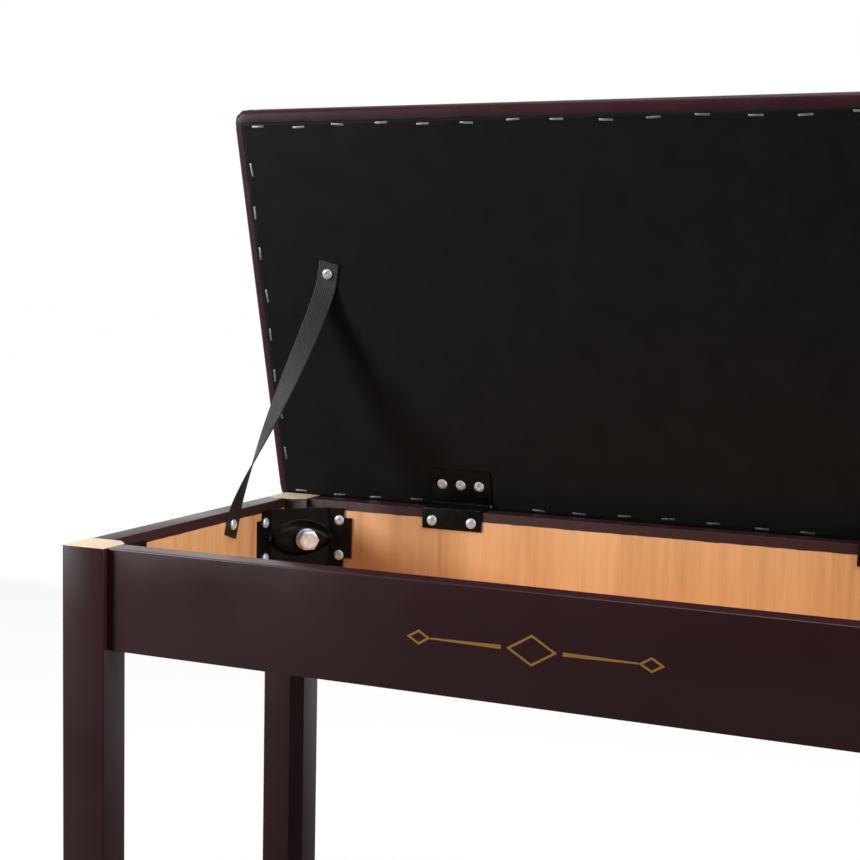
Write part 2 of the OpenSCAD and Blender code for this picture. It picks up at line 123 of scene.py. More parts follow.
def mesh_piece(name, shells, materials, sharp=35):
    """An object whose mesh is one shell or several, each a set of points, faces and slot numbers."""
    points = np.concatenate([shell[0] for shell in shells])
    starts = np.cumsum([0] + [len(shell[0]) for shell in shells])
    faces = [[start + corner for corner in face]
             for shell, start in zip(shells, starts) for face in shell[1]]
    slots = np.concatenate([np.broadcast_to(shell[2], len(shell[1])) for shell in shells])
    mesh = bpy.data.meshes.new(name)
    mesh.from_pydata(points.tolist(), [], faces)
    for used in materials:
        mesh.materials.append(used)
    mesh.polygons.foreach_set("material_index", slots.astype(np.int32))
    mesh.shade_smooth()
    mesh.set_sharp_from_angle(angle=math.radians(sharp))
    made = bpy.data.objects.new(name, mesh)
    bpy.context.scene.collection.objects.link(made)
    return made


def grid_faces(rows, columns, wrap_rows=False, wrap_columns=False):
    """Four-cornered faces of a grid of points numbered row by row; a wrapped way closes on itself."""
    r, c = np.meshgrid(np.arange(rows if wrap_rows else rows - 1),
                       np.arange(columns if wrap_columns else columns - 1), indexing="ij")
    r, c = r.ravel(), c.ravel()
    below, beside = (r + 1) % rows, (c + 1) % columns
    return np.stack([r * columns + c, r * columns + beside,
                     below * columns + beside, below * columns + c], 1)


FLOOR_HALF_WIDTH, FLOOR_FRONT, FLOOR_BACK = 30.0, -30.0, 40.0
GLOW_START, GLOW_FULL, GLOW_REAR, GLOW_SEEN = 0.4, 1.6, 0.9, 0.78
WALL_START, WALL_FULL, WALL_FRONT, WALL_REAR = -0.2, 0.4, 0.07, 1.0
floor_points = np.array([[-FLOOR_HALF_WIDTH, FLOOR_FRONT, 0], [FLOOR_HALF_WIDTH, FLOOR_FRONT, 0],
                         [-FLOOR_HALF_WIDTH, FLOOR_BACK, 0], [FLOOR_HALF_WIDTH, FLOOR_BACK, 0]])
pale_floor = new_material("pale_floor", Base_Color=(0.20, 0.20, 0.20, 1), Roughness=1.0,
                          Specular_IOR_Level=0.0, Emission_Color=(1, 1, 1, 1))
seen = node(pale_floor, "LightPath")
floor_tooth = node(pale_floor, "TexNoise", {"Scale": 40, "Detail": 3})
floor_place = node(pale_floor, "TexCoord")
floor_axes = node(pale_floor, "SeparateXYZ", {"Vector": floor_place.outputs["Object"]})
floor_back = node(pale_floor, "MapRange", {"Value": floor_axes.outputs["Y"], "From Min": GLOW_START,
                                           "From Max": GLOW_FULL, "To Max": GLOW_REAR})
floor_seen = node(pale_floor, "Math", {0: seen.outputs["Is Camera Ray"], 1: GLOW_SEEN}, operation="MULTIPLY")
floor_glow = node(pale_floor, "Math", {0: floor_seen.outputs["Value"], 1: floor_back.outputs["Result"]},
                  operation="MAXIMUM")
into_shader(pale_floor, "Emission Strength", floor_glow.outputs["Value"])
floor_bump = node(pale_floor, "Bump", {"Height": floor_tooth.outputs["Fac"], "Strength": 0.05})
into_shader(pale_floor, "Normal", floor_bump.outputs["Normal"])
studio_floor = mesh_piece("studio_floor", [(floor_points, grid_faces(2, 2), 0)], [pale_floor])


def soft_light(name, place, aim, size, watts):
    """A square soft light at a place, turned to face a point."""
    lamp = bpy.data.lights.new(name, "AREA")
    lamp.energy, lamp.size = watts, size
    made = bpy.data.objects.new(name, lamp)
    away = np.array(place, float) - np.array(aim, float)
    away /= np.linalg.norm(away)
    sideways = np.cross([0, 0, 1], away)
    sideways /= np.linalg.norm(sideways)
    axes = np.column_stack([sideways, np.cross(away, sideways), away, place])
    made.matrix_world = Matrix(np.vstack([axes, [0, 0, 0, 1]]).tolist())
    bpy.context.scene.collection.objects.link(made)


bench_middle = (0, 0, 0.5)
soft_light("key_light", (-1.9, -1.15, 1.05), bench_middle, 0.5, 40)
soft_light("right_light", (2.0, -0.5, 1.5), bench_middle, 1.0, 34)
soft_light("top_light", (0.0, -0.3, 2.6), bench_middle, 1.2, 26)

walls = bpy.data.worlds.new("studio_walls")
walls.use_nodes = True
bpy.context.scene.world = walls
wall_way = node(walls, "TexCoord")
wall_axes = node(walls, "SeparateXYZ", {"Vector": wall_way.outputs["Generated"]})
wall_fade = node(walls, "MapRange", {"Value": wall_axes.outputs["Y"], "From Min": WALL_START,
                                     "From Max": WALL_FULL, "To Min": WALL_FRONT, "To Max": WALL_REAR},
                 interpolation_type="SMOOTHSTEP")
wall_seen = node(walls, "LightPath")
wall_strength = node(walls, "Math", {0: wall_fade.outputs["Result"], 1: wall_seen.outputs["Is Camera Ray"]},
                     operation="MAXIMUM")
background = walls.node_tree.nodes["Background"]
background.inputs["Color"].default_value = (1, 1, 1, 1)
walls.node_tree.links.new(wall_strength.outputs["Value"], background.inputs["Strength"])


# ---- Legs -------------------------------------------------------------------------------------
# Four square posts of rubberwood, with the inner corner planed flat for the corner bracket. They
# are sprayed with satin burgundy-brown lacquer; the sawn ends are left bare.
LEG_PLANED = 10 * MM
LEG_EDGE, LEG_END_EDGE = 1.1 * MM, 0.5 * MM


def rounded(corners, radius, steps=3):
    """Outline with each corner turned into an arc of that radius, and the outward way at each point.
    An arc starts radius times the tangent of half the turn before its corner."""
    corners = np.asarray(corners, float)
    turned = np.roll(corners, -1, 0)
    if (corners[:, 0] * turned[:, 1] - corners[:, 1] * turned[:, 0]).sum() < 0:
        corners = corners[::-1]
    came = corners - np.roll(corners, 1, 0)
    came /= np.linalg.norm(came, axis=1)[:, None]
    goes = np.roll(came, -1, 0)
    turn = np.arctan2(came[:, 0] * goes[:, 1] - came[:, 1] * goes[:, 0], (came * goes).sum(1))
    radius = np.broadcast_to(radius, len(corners))
    out = np.stack([came[:, 1], -came[:, 0]], 1)
    start = corners - came * (radius * np.tan(abs(turn) / 2))[:, None]
    centre = start - out * (radius * np.sign(turn))[:, None]
    angle = turn[:, None] * np.linspace(0, 1, steps + 1)
    way = np.stack([out[:, None, 0] * np.cos(angle) - out[:, None, 1] * np.sin(angle),
                    out[:, None, 0] * np.sin(angle) + out[:, None, 1] * np.cos(angle)], 2)
    points = centre[:, None] + way * (radius * np.sign(turn))[:, None, None]
    return points.reshape(-1, 2), way.reshape(-1, 2)


def outward(points, faces):
    """The faces, each turned round if the closed shell's volume comes out negative."""
    first = np.array([face[:3] for face in faces])
    fans = (points[first[:, 0]] * np.cross(points[first[:, 1]], points[first[:, 2]])).sum()
    rest = sum(points[face[0]] @ np.cross(points[face[k]], points[face[k + 1]])
               for face in faces for k in range(2, len(face) - 1))
    return faces if fans + rest > 0 else [face[::-1] for face in faces]


def tube_faces(rings, count):
    """The faces of a tube made of rings of count points each, with its two ends closed."""
    around = grid_faces(rings, count, wrap_columns=True).tolist()
    return around + [list(range(count))[::-1], list(range((rings - 1) * count, rings * count))]


def prism(outline, low, high, edge, axes=(0, 1, 2), steps=2):
    """An outline carried from low to high, its two ends rolled over by a quarter circle of radius
    edge. axes says which of x, y and z the outline's two ways and its height run along."""
    points, way = outline
    a = np.linspace(0, math.pi / 2, steps + 1)
    inset, rise = edge * (1 - np.sin(a)), edge * (1 - np.cos(a))
    insets = np.concatenate([inset, inset[::-1]])
    heights = np.concatenate([low + rise, high - rise[::-1]])
    rings = points[None] - insets[:, None, None] * way[None]
    solid = np.zeros((len(heights), len(points), 3))
    solid[:, :, axes[0]], solid[:, :, axes[1]] = rings[:, :, 0], rings[:, :, 1]
    solid[:, :, axes[2]] = heights[:, None]
    solid = solid.reshape(-1, 3)
    return solid, outward(solid, tube_faces(len(heights), len(points))), 0


def facing(shell, way, least=0.9):
    """For each face of a shell, whether it looks along a way."""
    points, faces, _ = shell
    first = np.array([face[:3] for face in faces])
    normal = np.cross(points[first[:, 1]] - points[first[:, 0]], points[first[:, 2]] - points[first[:, 0]])
    normal /= np.linalg.norm(normal, axis=1)[:, None] + 1e-20
    return normal @ np.array(way, float) > least


def pattern(made, kind, stretch=(1, 1, 1), turn=(0, 0, 0), **sockets):
    """A texture on the piece's own coordinates, stretched and turned."""
    place = node(made, "TexCoord")
    mapped = node(made, "Mapping", {"Vector": place.outputs["Object"], "Scale": stretch, "Rotation": turn})
    inputs = {name.replace("_", " "): value for name, value in sockets.items()}
    return node(made, kind, {"Vector": mapped.outputs["Vector"], **inputs})


def ramp(made, value, *stops):
    """A colour that runs through stops, each a place from 0 to 1 and a colour."""
    scale = node(made, "ValToRGB", {"Fac": value})
    elements = scale.color_ramp.elements
    for element, (place, colour) in zip(elements, (stops[0], stops[-1])):
        element.position = place
        element.color = (*colour, 1)
    for place, colour in stops[1:-1]:
        elements.new(place).color = (*colour, 1)
    return scale.outputs["Color"]


def span(made, value, low, high, start=0.0, end=1.0):
    """A value's stretch from low to high, carried over to the stretch from start to end."""
    return node(made, "MapRange", {"Value": value, "From Min": low, "From Max": high,
                                   "To Min": start, "To Max": end}).outputs["Result"]


def add_bump(made, height, depth, strength=1.0, under=None):
    """A bump of that depth in metres, on top of another one if it is given."""
    inputs = {"Height": height, "Distance": depth, "Strength": strength}
    if under is not None:
        inputs["Normal"] = under
    return node(made, "Bump", inputs).outputs["Normal"]


def lacquer_colour(made):
    """Burgundy-brown lacquer that clouds a little lighter and darker over a hand's width."""
    cloud = pattern(made, "TexNoise", Scale=9, Detail=3)
    return ramp(made, cloud.outputs["Fac"],
                (0.3, (0.0300, 0.0085, 0.0108)), (0.7, (0.0380, 0.0122, 0.0145)))


def lacquer_bump(made):
    """The sprayed film's fine orange peel over the faint long pores of the wood."""
    peel = pattern(made, "TexNoise", Scale=900, Detail=2)
    pores = pattern(made, "TexNoise", stretch=(700, 700, 25), Scale=1, Detail=4)
    first = add_bump(made, pores.outputs["Fac"], 0.00005, 0.35)
    return add_bump(made, peel.outputs["Fac"], 0.00004, 0.35, first)


def lacquer_film(name):
    """Satin lacquer, but for its colour: slow smears of gloss over the sprayed film."""
    made = new_material(name, Specular_IOR_Level=0.3)
    smear = pattern(made, "TexNoise", Scale=14, Detail=5)
    into_shader(made, "Roughness", span(made, smear.outputs["Fac"], 0.3, 0.7, 0.27, 0.40))
    into_shader(made, "Normal", lacquer_bump(made))
    return made


lacquer = lacquer_film("burgundy_lacquer")
into_shader(lacquer, "Base Color", lacquer_colour(lacquer))

end_grain = new_material("sawn_end_grain", Specular_IOR_Level=0.2)
grain_rings = pattern(end_grain, "TexWave", turn=(0, 0, 0.5), Scale=70, Distortion=7, Detail=3)
grain_pores = pattern(end_grain, "TexNoise", Scale=1400, Detail=2)
grain_mix = node(end_grain, "Math", {0: grain_rings.outputs["Fac"], 1: grain_pores.outputs["Fac"]},
                 operation="MULTIPLY")
into_shader(end_grain, "Base Color", ramp(end_grain, grain_mix.outputs["Value"], (0.0, (0.60, 0.45, 0.29)),
                                          (0.25, (0.72, 0.57, 0.40)), (0.7, (0.78, 0.65, 0.49))))
into_shader(end_grain, "Roughness", span(end_grain, grain_pores.outputs["Fac"], 0.3, 0.7, 0.6, 0.8))
into_shader(end_grain, "Normal", add_bump(end_grain, grain_mix.outputs["Value"], 0.0002, 0.4))

for end in ("front", "rear"):
    for side in ("left", "right"):
        cad_name = f"leg_{end}_{side}"
        low, high = (np.array(corner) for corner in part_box(cad_name))
        leg_size = high[0] - low[0]
        outer = np.array([low[0] if side == "left" else high[0], low[1] if end == "front" else high[1]])
        inward = np.array([1 if side == "left" else -1, 1 if end == "front" else -1])
        cut = leg_size - LEG_PLANED
        plan = np.array([[0, 0], [leg_size, 0], [leg_size, cut], [cut, leg_size], [0, leg_size]])
        leg_shell = prism(rounded(outer + inward * plan, LEG_EDGE), low[2], high[2], LEG_END_EDGE)
        bare = facing(leg_shell, (0, 0, 1)) | facing(leg_shell, (0, 0, -1))
        leg = mesh_piece(f"{end}_{side}_leg", [(*leg_shell[:2], bare.astype(int))], [lacquer, end_grain])
        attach(leg, "frame")
        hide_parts(cad_name)

# ---- Rails ------------------------------------------------------------------------------------
# Four boards are glued between the legs, with a groove near their lower edge for the bottom panel.
# The lacquer is sprayed from outside, so inside it covers only a margin along the top.
PAINT_MARGIN = 8.8 * MM
GROOVE_DEPTH, GROOVE_LOW, GROOVE_HIGH = 5 * MM, 8 * MM, 12.2 * MM
RAIL_EDGE, RAIL_END_EDGE, GROOVE_EDGE = 1.0 * MM, 0.4 * MM, 0.3 * MM
SPRAY_RAGGED, SPRAY_SOFT = 0.35 * MM, 0.25 * MM
rail_floor, rail_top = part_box("front_rail")[0][2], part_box("front_rail")[1][2]


def bare_wood_colour(made, run):
    """Tan wood: long streaks along the grain, a few dark mineral lines, and slow changes of warmth.
    run says how much the pattern is squeezed along each way, least along the grain."""
    streaks = pattern(made, "TexNoise", stretch=run, Scale=1, Detail=6, Roughness=0.62, Distortion=0.25)
    slow = pattern(made, "TexNoise", stretch=tuple(0.22 * v for v in run), Scale=1, Detail=2)
    tone = node(made, "Mix", {"Factor": 0.45, "A": streaks.outputs["Fac"], "B": slow.outputs["Fac"]})
    return ramp(made, tone.outputs["Result"], (0.30, (0.46, 0.22, 0.085)), (0.43, (0.66, 0.345, 0.150)),
                (0.55, (0.76, 0.42, 0.195)), (0.70, (0.84, 0.50, 0.255)))


def bare_wood(name, run):
    """Bare planed wood whose grain runs the way that run squeezes least."""
    made = new_material(name, Specular_IOR_Level=0.3)
    colour = bare_wood_colour(made, run)
    fibre = pattern(made, "TexNoise", stretch=tuple(4 * v for v in run), Scale=1, Detail=3)
    into_shader(made, "Roughness", span(made, fibre.outputs["Fac"], 0.3, 0.7, 0.50, 0.68))
    into_shader(made, "Normal", add_bump(made, fibre.outputs["Fac"], 0.00012, 0.5))
    return made, colour


wall_wood, wall_colour = bare_wood("bare_wall_wood", (75, 75, 4))
wall_place = node(wall_wood, "TexCoord")
wall_height = node(wall_wood, "SeparateXYZ", {"Vector": wall_place.outputs["Object"]})
spray = pattern(wall_wood, "TexNoise", Scale=55, Detail=3)
ragged = span(wall_wood, spray.outputs["Fac"], 0.3, 0.7, -SPRAY_RAGGED, SPRAY_RAGGED)
sprayed_height = node(wall_wood, "Math", {0: wall_height.outputs["Z"], 1: ragged}, operation="ADD")
margin_floor = float(rail_top - PAINT_MARGIN)
sprayed = span(wall_wood, sprayed_height.outputs["Value"],
               margin_floor - SPRAY_SOFT, margin_floor + SPRAY_SOFT)
wall_mix = node(wall_wood, "Mix", {"Factor": sprayed, 6: wall_colour, 7: lacquer_colour(wall_wood)},
                data_type="RGBA")
into_shader(wall_wood, "Base Color", wall_mix.outputs[2])


def rail_piece(name, cad_name, paint, run_axis, inward_sign):
    """A rail: its section, with the groove on the inner side, is carried along the rail. Every face is
    painted but the inner one."""
    low, high = (np.array(corner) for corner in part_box(cad_name))
    deep_axis = 1 - run_axis
    thick = high[deep_axis] - low[deep_axis]
    face = low[deep_axis] if inward_sign > 0 else high[deep_axis]
    tall = high[2] - low[2]
    groove = thick - GROOVE_DEPTH
    section = np.array([[0, 0], [thick, 0], [thick, GROOVE_LOW], [groove, GROOVE_LOW],
                        [groove, GROOVE_HIGH], [thick, GROOVE_HIGH], [thick, tall], [0, tall]])
    radii = np.array([RAIL_EDGE, RAIL_EDGE] + [GROOVE_EDGE] * 4 + [RAIL_EDGE] * 2)
    section = section * [inward_sign, 1] + [face, low[2]]
    if inward_sign < 0:
        radii = radii[::-1]
    shell = prism(rounded(section, radii), low[run_axis], high[run_axis], RAIL_END_EDGE,
                  axes=(deep_axis, 2, run_axis))
    bare = facing(shell, inward_sign * np.eye(3)[deep_axis], 0.95).astype(int)
    made = mesh_piece(name, [(*shell[:2], bare)], [paint, wall_wood])
    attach(made, "frame")
    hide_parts(cad_name)


# The front rail carries a printed gold line with a small lozenge at its middle and at each end.
ORNAMENT_HALF, ORNAMENT_LINE, ORNAMENT_SKIN = 83 * MM, 0.9 * MM, 0.5 * MM
GOLD = (0.36, 0.19, 0.035, 1)
LOZENGE, END_LOZENGE, LOZENGE_LEAN = 10 * MM, 4.5 * MM, 0.6
LINE_START, LINE_END, TAPER_START = 22 * MM, ORNAMENT_HALF - 9 * MM, 20 * MM
front_lacquer = lacquer_film("burgundy_lacquer_with_gold_line")
ornament_middle = (float(cad_box[0][0] + cad_box[1][0]) / 2, float(rail_floor + rail_top) / 2)
front_place = node(front_lacquer, "TexCoord")
front_axes = node(front_lacquer, "SeparateXYZ", {"Vector": front_place.outputs["Object"]})


def front_math(operation, first, second=0.0):
    """One step of the ornament's formula."""
    return node(front_lacquer, "Math", {0: first, 1: second}, operation=operation).outputs["Value"]


ornament_x = front_math("SUBTRACT", front_axes.outputs["X"], ornament_middle[0])
ornament_z = front_math("ABSOLUTE", front_math("SUBTRACT", front_axes.outputs["Z"], ornament_middle[1]))
ornament_reach = front_math("ABSOLUTE", ornament_x)


def lozenge(place, size):
    """A lozenge's outline: where the height and a share of the way along from its middle add up to
    its size."""
    away = front_math("ABSOLUTE", front_math("SUBTRACT", ornament_reach, place))
    total = front_math("ADD", front_math("MULTIPLY", away, LOZENGE_LEAN), ornament_z)
    off = front_math("ABSOLUTE", front_math("SUBTRACT", total, size))
    return front_math("LESS_THAN", off, ORNAMENT_LINE)


lozenges = front_math("MAXIMUM", lozenge(0.0, LOZENGE), lozenge(ORNAMENT_HALF, END_LOZENGE))
taper = span(front_lacquer, ornament_reach, TAPER_START, ORNAMENT_HALF,
             1.6 * ORNAMENT_LINE, 0.5 * ORNAMENT_LINE)
gold_line = front_math("LESS_THAN", ornament_z, taper)
gold_line = front_math("MULTIPLY", gold_line, front_math("GREATER_THAN", ornament_reach, LINE_START))
gold_line = front_math("MULTIPLY", gold_line, front_math("LESS_THAN", ornament_reach, LINE_END))
front_face = float(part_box("front_rail")[0][1] + ORNAMENT_SKIN)
outside = front_math("LESS_THAN", front_axes.outputs["Y"], front_face)
gold = front_math("MULTIPLY", front_math("MAXIMUM", gold_line, lozenges), outside)
gold_mix = node(front_lacquer, "Mix", {"Factor": gold, 6: lacquer_colour(front_lacquer), 7: GOLD},
                data_type="RGBA")
into_shader(front_lacquer, "Base Color", gold_mix.outputs[2])

rail_piece("front_rail_board", "front_rail", front_lacquer, 0, 1)
rail_piece("rear_rail_board", "rear_rail", lacquer, 0, -1)
rail_piece("left_rail_board", "left_rail", lacquer, 1, 1)
rail_piece("right_rail_board", "right_rail", lacquer, 1, -1)

# ---- Bottom panel -----------------------------------------------------------------------------
# A thin plywood sheet slid into the rails' grooves, with its four corners sawn out round the legs.
# It is held by the grooves alone.
PANEL_GAP, PANEL_CORNER, PANEL_EDGE = 0.2 * MM, 0.3 * MM, 0.2 * MM
low, high = (np.array(corner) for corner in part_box("bottom_panel"))
notch_low = np.array(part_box("leg_front_left")[1]) + PANEL_GAP
notch_high = np.array(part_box("leg_rear_right")[0]) - PANEL_GAP
x, y = np.stack([low, notch_low, notch_high, high])[:, :2].T
panel_shape = [[x[1], y[0]], [x[2], y[0]], [x[2], y[1]], [x[3], y[1]], [x[3], y[2]], [x[2], y[2]],
               [x[2], y[3]], [x[1], y[3]], [x[1], y[2]], [x[0], y[2]], [x[0], y[1]], [x[1], y[1]]]
panel_wood, panel_colour = bare_wood("panel_plywood", (3, 60, 60))
into_shader(panel_wood, "Base Color", panel_colour)
panel_shell = prism(rounded(panel_shape, PANEL_CORNER), low[2], high[2], PANEL_EDGE)
panel = mesh_piece("plywood_panel", [panel_shell], [panel_wood])
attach(panel, "frame")
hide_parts("bottom_panel")

# ---- Corner brackets --------------------------------------------------------------------------
# A strip of 2 mm steel, bent 45 degrees twice so that it crosses the corner, with an eye-shaped
# boss pressed out round the bolt. It is coated satin black and screwed to both rails.
BRACKET_REACH, BRACKET_FLANGE, BRACKET_SHEET = 40 * MM, 24.5 * MM, 2 * MM
BRACKET_HEIGHT, BRACKET_DROP, BRACKET_NOTCH = 55 * MM, 7 * MM, 8.5 * MM
BOSS_HALF, BOSS_RISE, BOSS_DEPTH, BOSS_SLOPE = 35 * MM, 17 * MM, 8 * MM, 8.5 * MM
BRACKET_EDGE, BEND_HALF = 0.4 * MM, 2.5 * MM
RAIL_RECESS = 5 * MM
inner_x = float(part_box("right_rail")[0][0])
front_wall, back_wall = float(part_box("front_rail")[1][1]), float(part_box("rear_rail")[0][1])
bracket_level = rail_top - BRACKET_DROP - BRACKET_HEIGHT / 2
corner_ends = {"front": 1, "rear": -1}
corner_sides = {"left": 1, "right": -1}


def in_corner(points, end, side):
    """Points of a corner's own frame, whose x runs along the long rail and y along the short one,
    both into the box, and whose z is measured from the brackets' middle."""
    x = corner_sides[side] * (points[:, 0] - inner_x)
    y = (front_wall if end == "front" else back_wall) + corner_ends[end] * points[:, 1]
    return np.stack([x, y, bracket_level + points[:, 2]], 1)


def bolt_frame(points):
    """Points whose x runs down, y across the bracket and z out along the bolt, in the corner's frame.
    The long rails stand back from the legs' faces and the short ones are flush, which shifts the bolt."""
    middle, shift = BRACKET_REACH / 2, RAIL_RECESS / 2
    x = middle + shift + (points[:, 2] - points[:, 1]) / math.sqrt(2)
    y = middle - shift + (points[:, 2] + points[:, 1]) / math.sqrt(2)
    return np.stack([x, y, -points[:, 0]], 1)


def lens_depth(across, up):
    """How deep a point lies inside the eye, whose two edges are arcs of one circle that meet in points."""
    circle = (BOSS_HALF ** 2 + BOSS_RISE ** 2) / (2 * BOSS_RISE)
    return circle - np.hypot(across, abs(up) + circle - BOSS_RISE)


def smooth(t):
    """An S-shaped step from 0 to 1 whose two ends are level."""
    t = np.clip(t, 0, 1)
    return t * t * (3 - 2 * t)


def bracket_sheet():
    """The bracket's back, unrolled: its way turns 45 degrees over a short stretch at each bend, its
    place is the running sum of its way, and the boss is a smooth step up from the eye's edge."""
    half = BRACKET_REACH / math.sqrt(2)
    edge = half + BRACKET_FLANGE
    tall = BRACKET_HEIGHT / 2
    run = np.unique([*np.linspace(-edge, edge, 121), BRACKET_NOTCH - edge, edge - BRACKET_NOTCH])
    level = np.unique([*np.linspace(-tall, tall, 61), BRACKET_NOTCH - tall, tall - BRACKET_NOTCH])
    turn = np.sign(run) * math.pi / 4 * smooth((abs(run) - half + BEND_HALF) / (2 * BEND_HALF))
    step = np.diff(run)
    middle = (turn[1:] + turn[:-1]) / 2
    along = np.concatenate([[0], np.cumsum(step * np.cos(middle))])
    out = np.concatenate([[0], np.cumsum(step * np.sin(middle))])
    along -= (along[0] + along[-1]) / 2
    out -= np.interp(0, run, out)
    s, z = np.meshgrid(run, level, indexing="ij")
    boss = BOSS_DEPTH * smooth(lens_depth(s, z) / BOSS_SLOPE)
    diagonal = along[:, None] - boss * np.sin(turn)[:, None]
    stand = abs(out)[:, None] + boss * np.cos(turn)[:, None]
    x = BRACKET_REACH / 2 + (diagonal + stand) / math.sqrt(2)
    y = BRACKET_REACH / 2 + (stand - diagonal) / math.sqrt(2)
    faces = grid_faces(len(run), len(level))
    centre_s = (s.ravel()[faces[:, 0]] + s.ravel()[faces[:, 2]]) / 2
    centre_z = (z.ravel()[faces[:, 0]] + z.ravel()[faces[:, 2]]) / 2
    notch = (abs(centre_s) > edge - BRACKET_NOTCH) & (abs(centre_z) > tall - BRACKET_NOTCH)
    return np.stack([x.ravel(), y.ravel(), z.ravel()], 1), faces[~notch]


def without_spares(points, faces):
    """The points that the faces use, and the faces numbered over them."""
    used, numbers = np.unique(faces, return_inverse=True)
    return points[used], numbers.reshape(faces.shape)


def mottled(name, scale, detail, rough, *stops, **constants):
    """A finish with one mottle, which leads its colour through the stops and its roughness from the
    first to the second of rough. Gives the material and the mottle's value."""
    made = new_material(name, **constants)
    mottle = pattern(made, "TexNoise", Scale=scale, Detail=detail).outputs["Fac"]
    into_shader(made, "Base Color", ramp(made, mottle, *stops))
    into_shader(made, "Roughness", span(made, mottle, 0.3, 0.7, *rough))
    return made, mottle


black_steel, _ = mottled("black_coated_steel", 220, 4, (0.30, 0.48), (0.35, (0.0022, 0.0025, 0.0032)),
                         (0.75, (0.0048, 0.0052, 0.0062)),
                         Specular_IOR_Level=0.12, Coat_Weight=0.06, Coat_Roughness=0.15)
steel_peel = pattern(black_steel, "TexNoise", Scale=700, Detail=2)
into_shader(black_steel, "Normal", add_bump(black_steel, steel_peel.outputs["Fac"], 0.00004, 0.35))


def modifier(made, kind, **settings):
    """Adds a modifier and sets it."""
    added = made.modifiers.new(kind.lower(), kind)
    for name, value in settings.items():
        setattr(added, name, value)


sheet_points, sheet_faces = without_spares(*bracket_sheet())
for end in corner_ends:
    for side in corner_sides:
        plate_points = in_corner(sheet_points, end, side)
        # the sheet faces the box's middle; each mirroring turns its faces round
        flip = corner_ends[end] * corner_sides[side] < 0
        plate_faces = sheet_faces[:, ::-1] if flip else sheet_faces
        plate_shell = (plate_points, plate_faces.tolist(), 0)
        plate = mesh_piece(f"{end}_{side}_bracket_plate", [plate_shell], [black_steel], 60)
        modifier(plate, "SOLIDIFY", thickness=BRACKET_SHEET, offset=1.0)
        modifier(plate, "BEVEL", width=BRACKET_EDGE, segments=2, limit_method="ANGLE",
                 angle_limit=math.radians(50))
        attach(plate, "frame")
        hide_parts(f"bracket_{end}_{side}")

# ---- Leg bolts and their washers --------------------------------------------------------------
# A hexagon bolt of dull zinc plate runs through each bracket into a threaded insert in the leg. A
# flat washer and a split spring washer, both plated brighter, sit under its head.
BOLT_FLATS, BOLT_HEAD, BOLT_RADIUS = 17 * MM, 6.4 * MM, 5 * MM
FLAT_WASHER, SPRING_WASHER = 2 * MM, 2.5 * MM
HEAD_FLOOR = BRACKET_SHEET + BOSS_DEPTH + FLAT_WASHER + SPRING_WASHER
BOLT_TIP, BOLT_SMOOTH = -41 * MM, 14 * MM
HEAD_POINTS = 48
HEAD_SLOPE = math.tan(math.radians(30))
THREAD_PITCH, THREAD_DEPTH = 1.5 * MM, 0.9 * MM


def revolved(radii, heights, count):
    """Rings of points round the z axis; a ring's radius may change with the angle."""
    angle = np.arange(count) * 2 * math.pi / count
    radii = np.broadcast_to(np.asarray(radii, float).reshape(len(radii), -1), (len(radii), count))
    heights = np.broadcast_to(np.asarray(heights, float).reshape(len(heights), -1), radii.shape)
    points = np.stack([radii * np.cos(angle), radii * np.sin(angle), heights], 2).reshape(-1, 3)
    return points, outward(points, tube_faces(len(radii), count))


def hexagon_head():
    """A hexagon whose corners are turned off by a cone: a side's top edge drops where the corner
    stands further out, and the face inside the circle is slightly dished."""
    angle = np.arange(HEAD_POINTS) * 2 * math.pi / HEAD_POINTS
    flat = BOLT_FLATS / 2
    hexagon = flat / np.cos((angle + math.pi / 6) % (math.pi / 3) - math.pi / 6)
    drop = (hexagon - 0.88 * flat) * HEAD_SLOPE
    rings = [(0.9 * hexagon, 0), (hexagon, 0.3 * MM), (hexagon, BOLT_HEAD - drop), (0.88 * flat, BOLT_HEAD),
             (0.80 * flat, BOLT_HEAD + 0.1 * MM), (0.62 * flat, BOLT_HEAD - 0.1 * MM),
             (0.10 * flat, BOLT_HEAD - 0.2 * MM)]
    radii, heights = ([np.broadcast_to(value, HEAD_POINTS) for value in values] for values in zip(*rings))
    points, faces = revolved(radii, heights, HEAD_POINTS)
    return points + [0, 0, HEAD_FLOOR], faces


def bolt_shank():
    """A shank with rolled thread: its radius swings like a rounded saw along the lower part."""
    heights = np.arange(BOLT_TIP, HEAD_FLOOR + 0.4 * MM, THREAD_PITCH / 4)
    swing = abs((heights / THREAD_PITCH) % 1 - 0.5) * 2
    radii = BOLT_RADIUS - THREAD_DEPTH * smooth(swing) * (heights < HEAD_FLOOR - BOLT_SMOOTH)
    radii[0] = 0.7 * BOLT_RADIUS
    return revolved(radii, heights, 24)


zinc = new_material("bright_zinc", Metallic=0.6)
zinc_cloud = pattern(zinc, "TexNoise", Scale=160, Detail=3)
into_shader(zinc, "Base Color", ramp(zinc, zinc_cloud.outputs["Fac"], (0.3, (0.55, 0.68, 0.80)),
                                     (0.5, (0.72, 0.84, 0.95)), (0.7, (0.78, 0.84, 0.90))))
zinc_scuff = pattern(zinc, "TexNoise", Scale=900, Detail=4)
into_shader(zinc, "Roughness", span(zinc, zinc_scuff.outputs["Fac"], 0.3, 0.7, 0.26, 0.42))
into_shader(zinc, "Normal", add_bump(zinc, zinc_scuff.outputs["Fac"], 0.00004, 0.3))

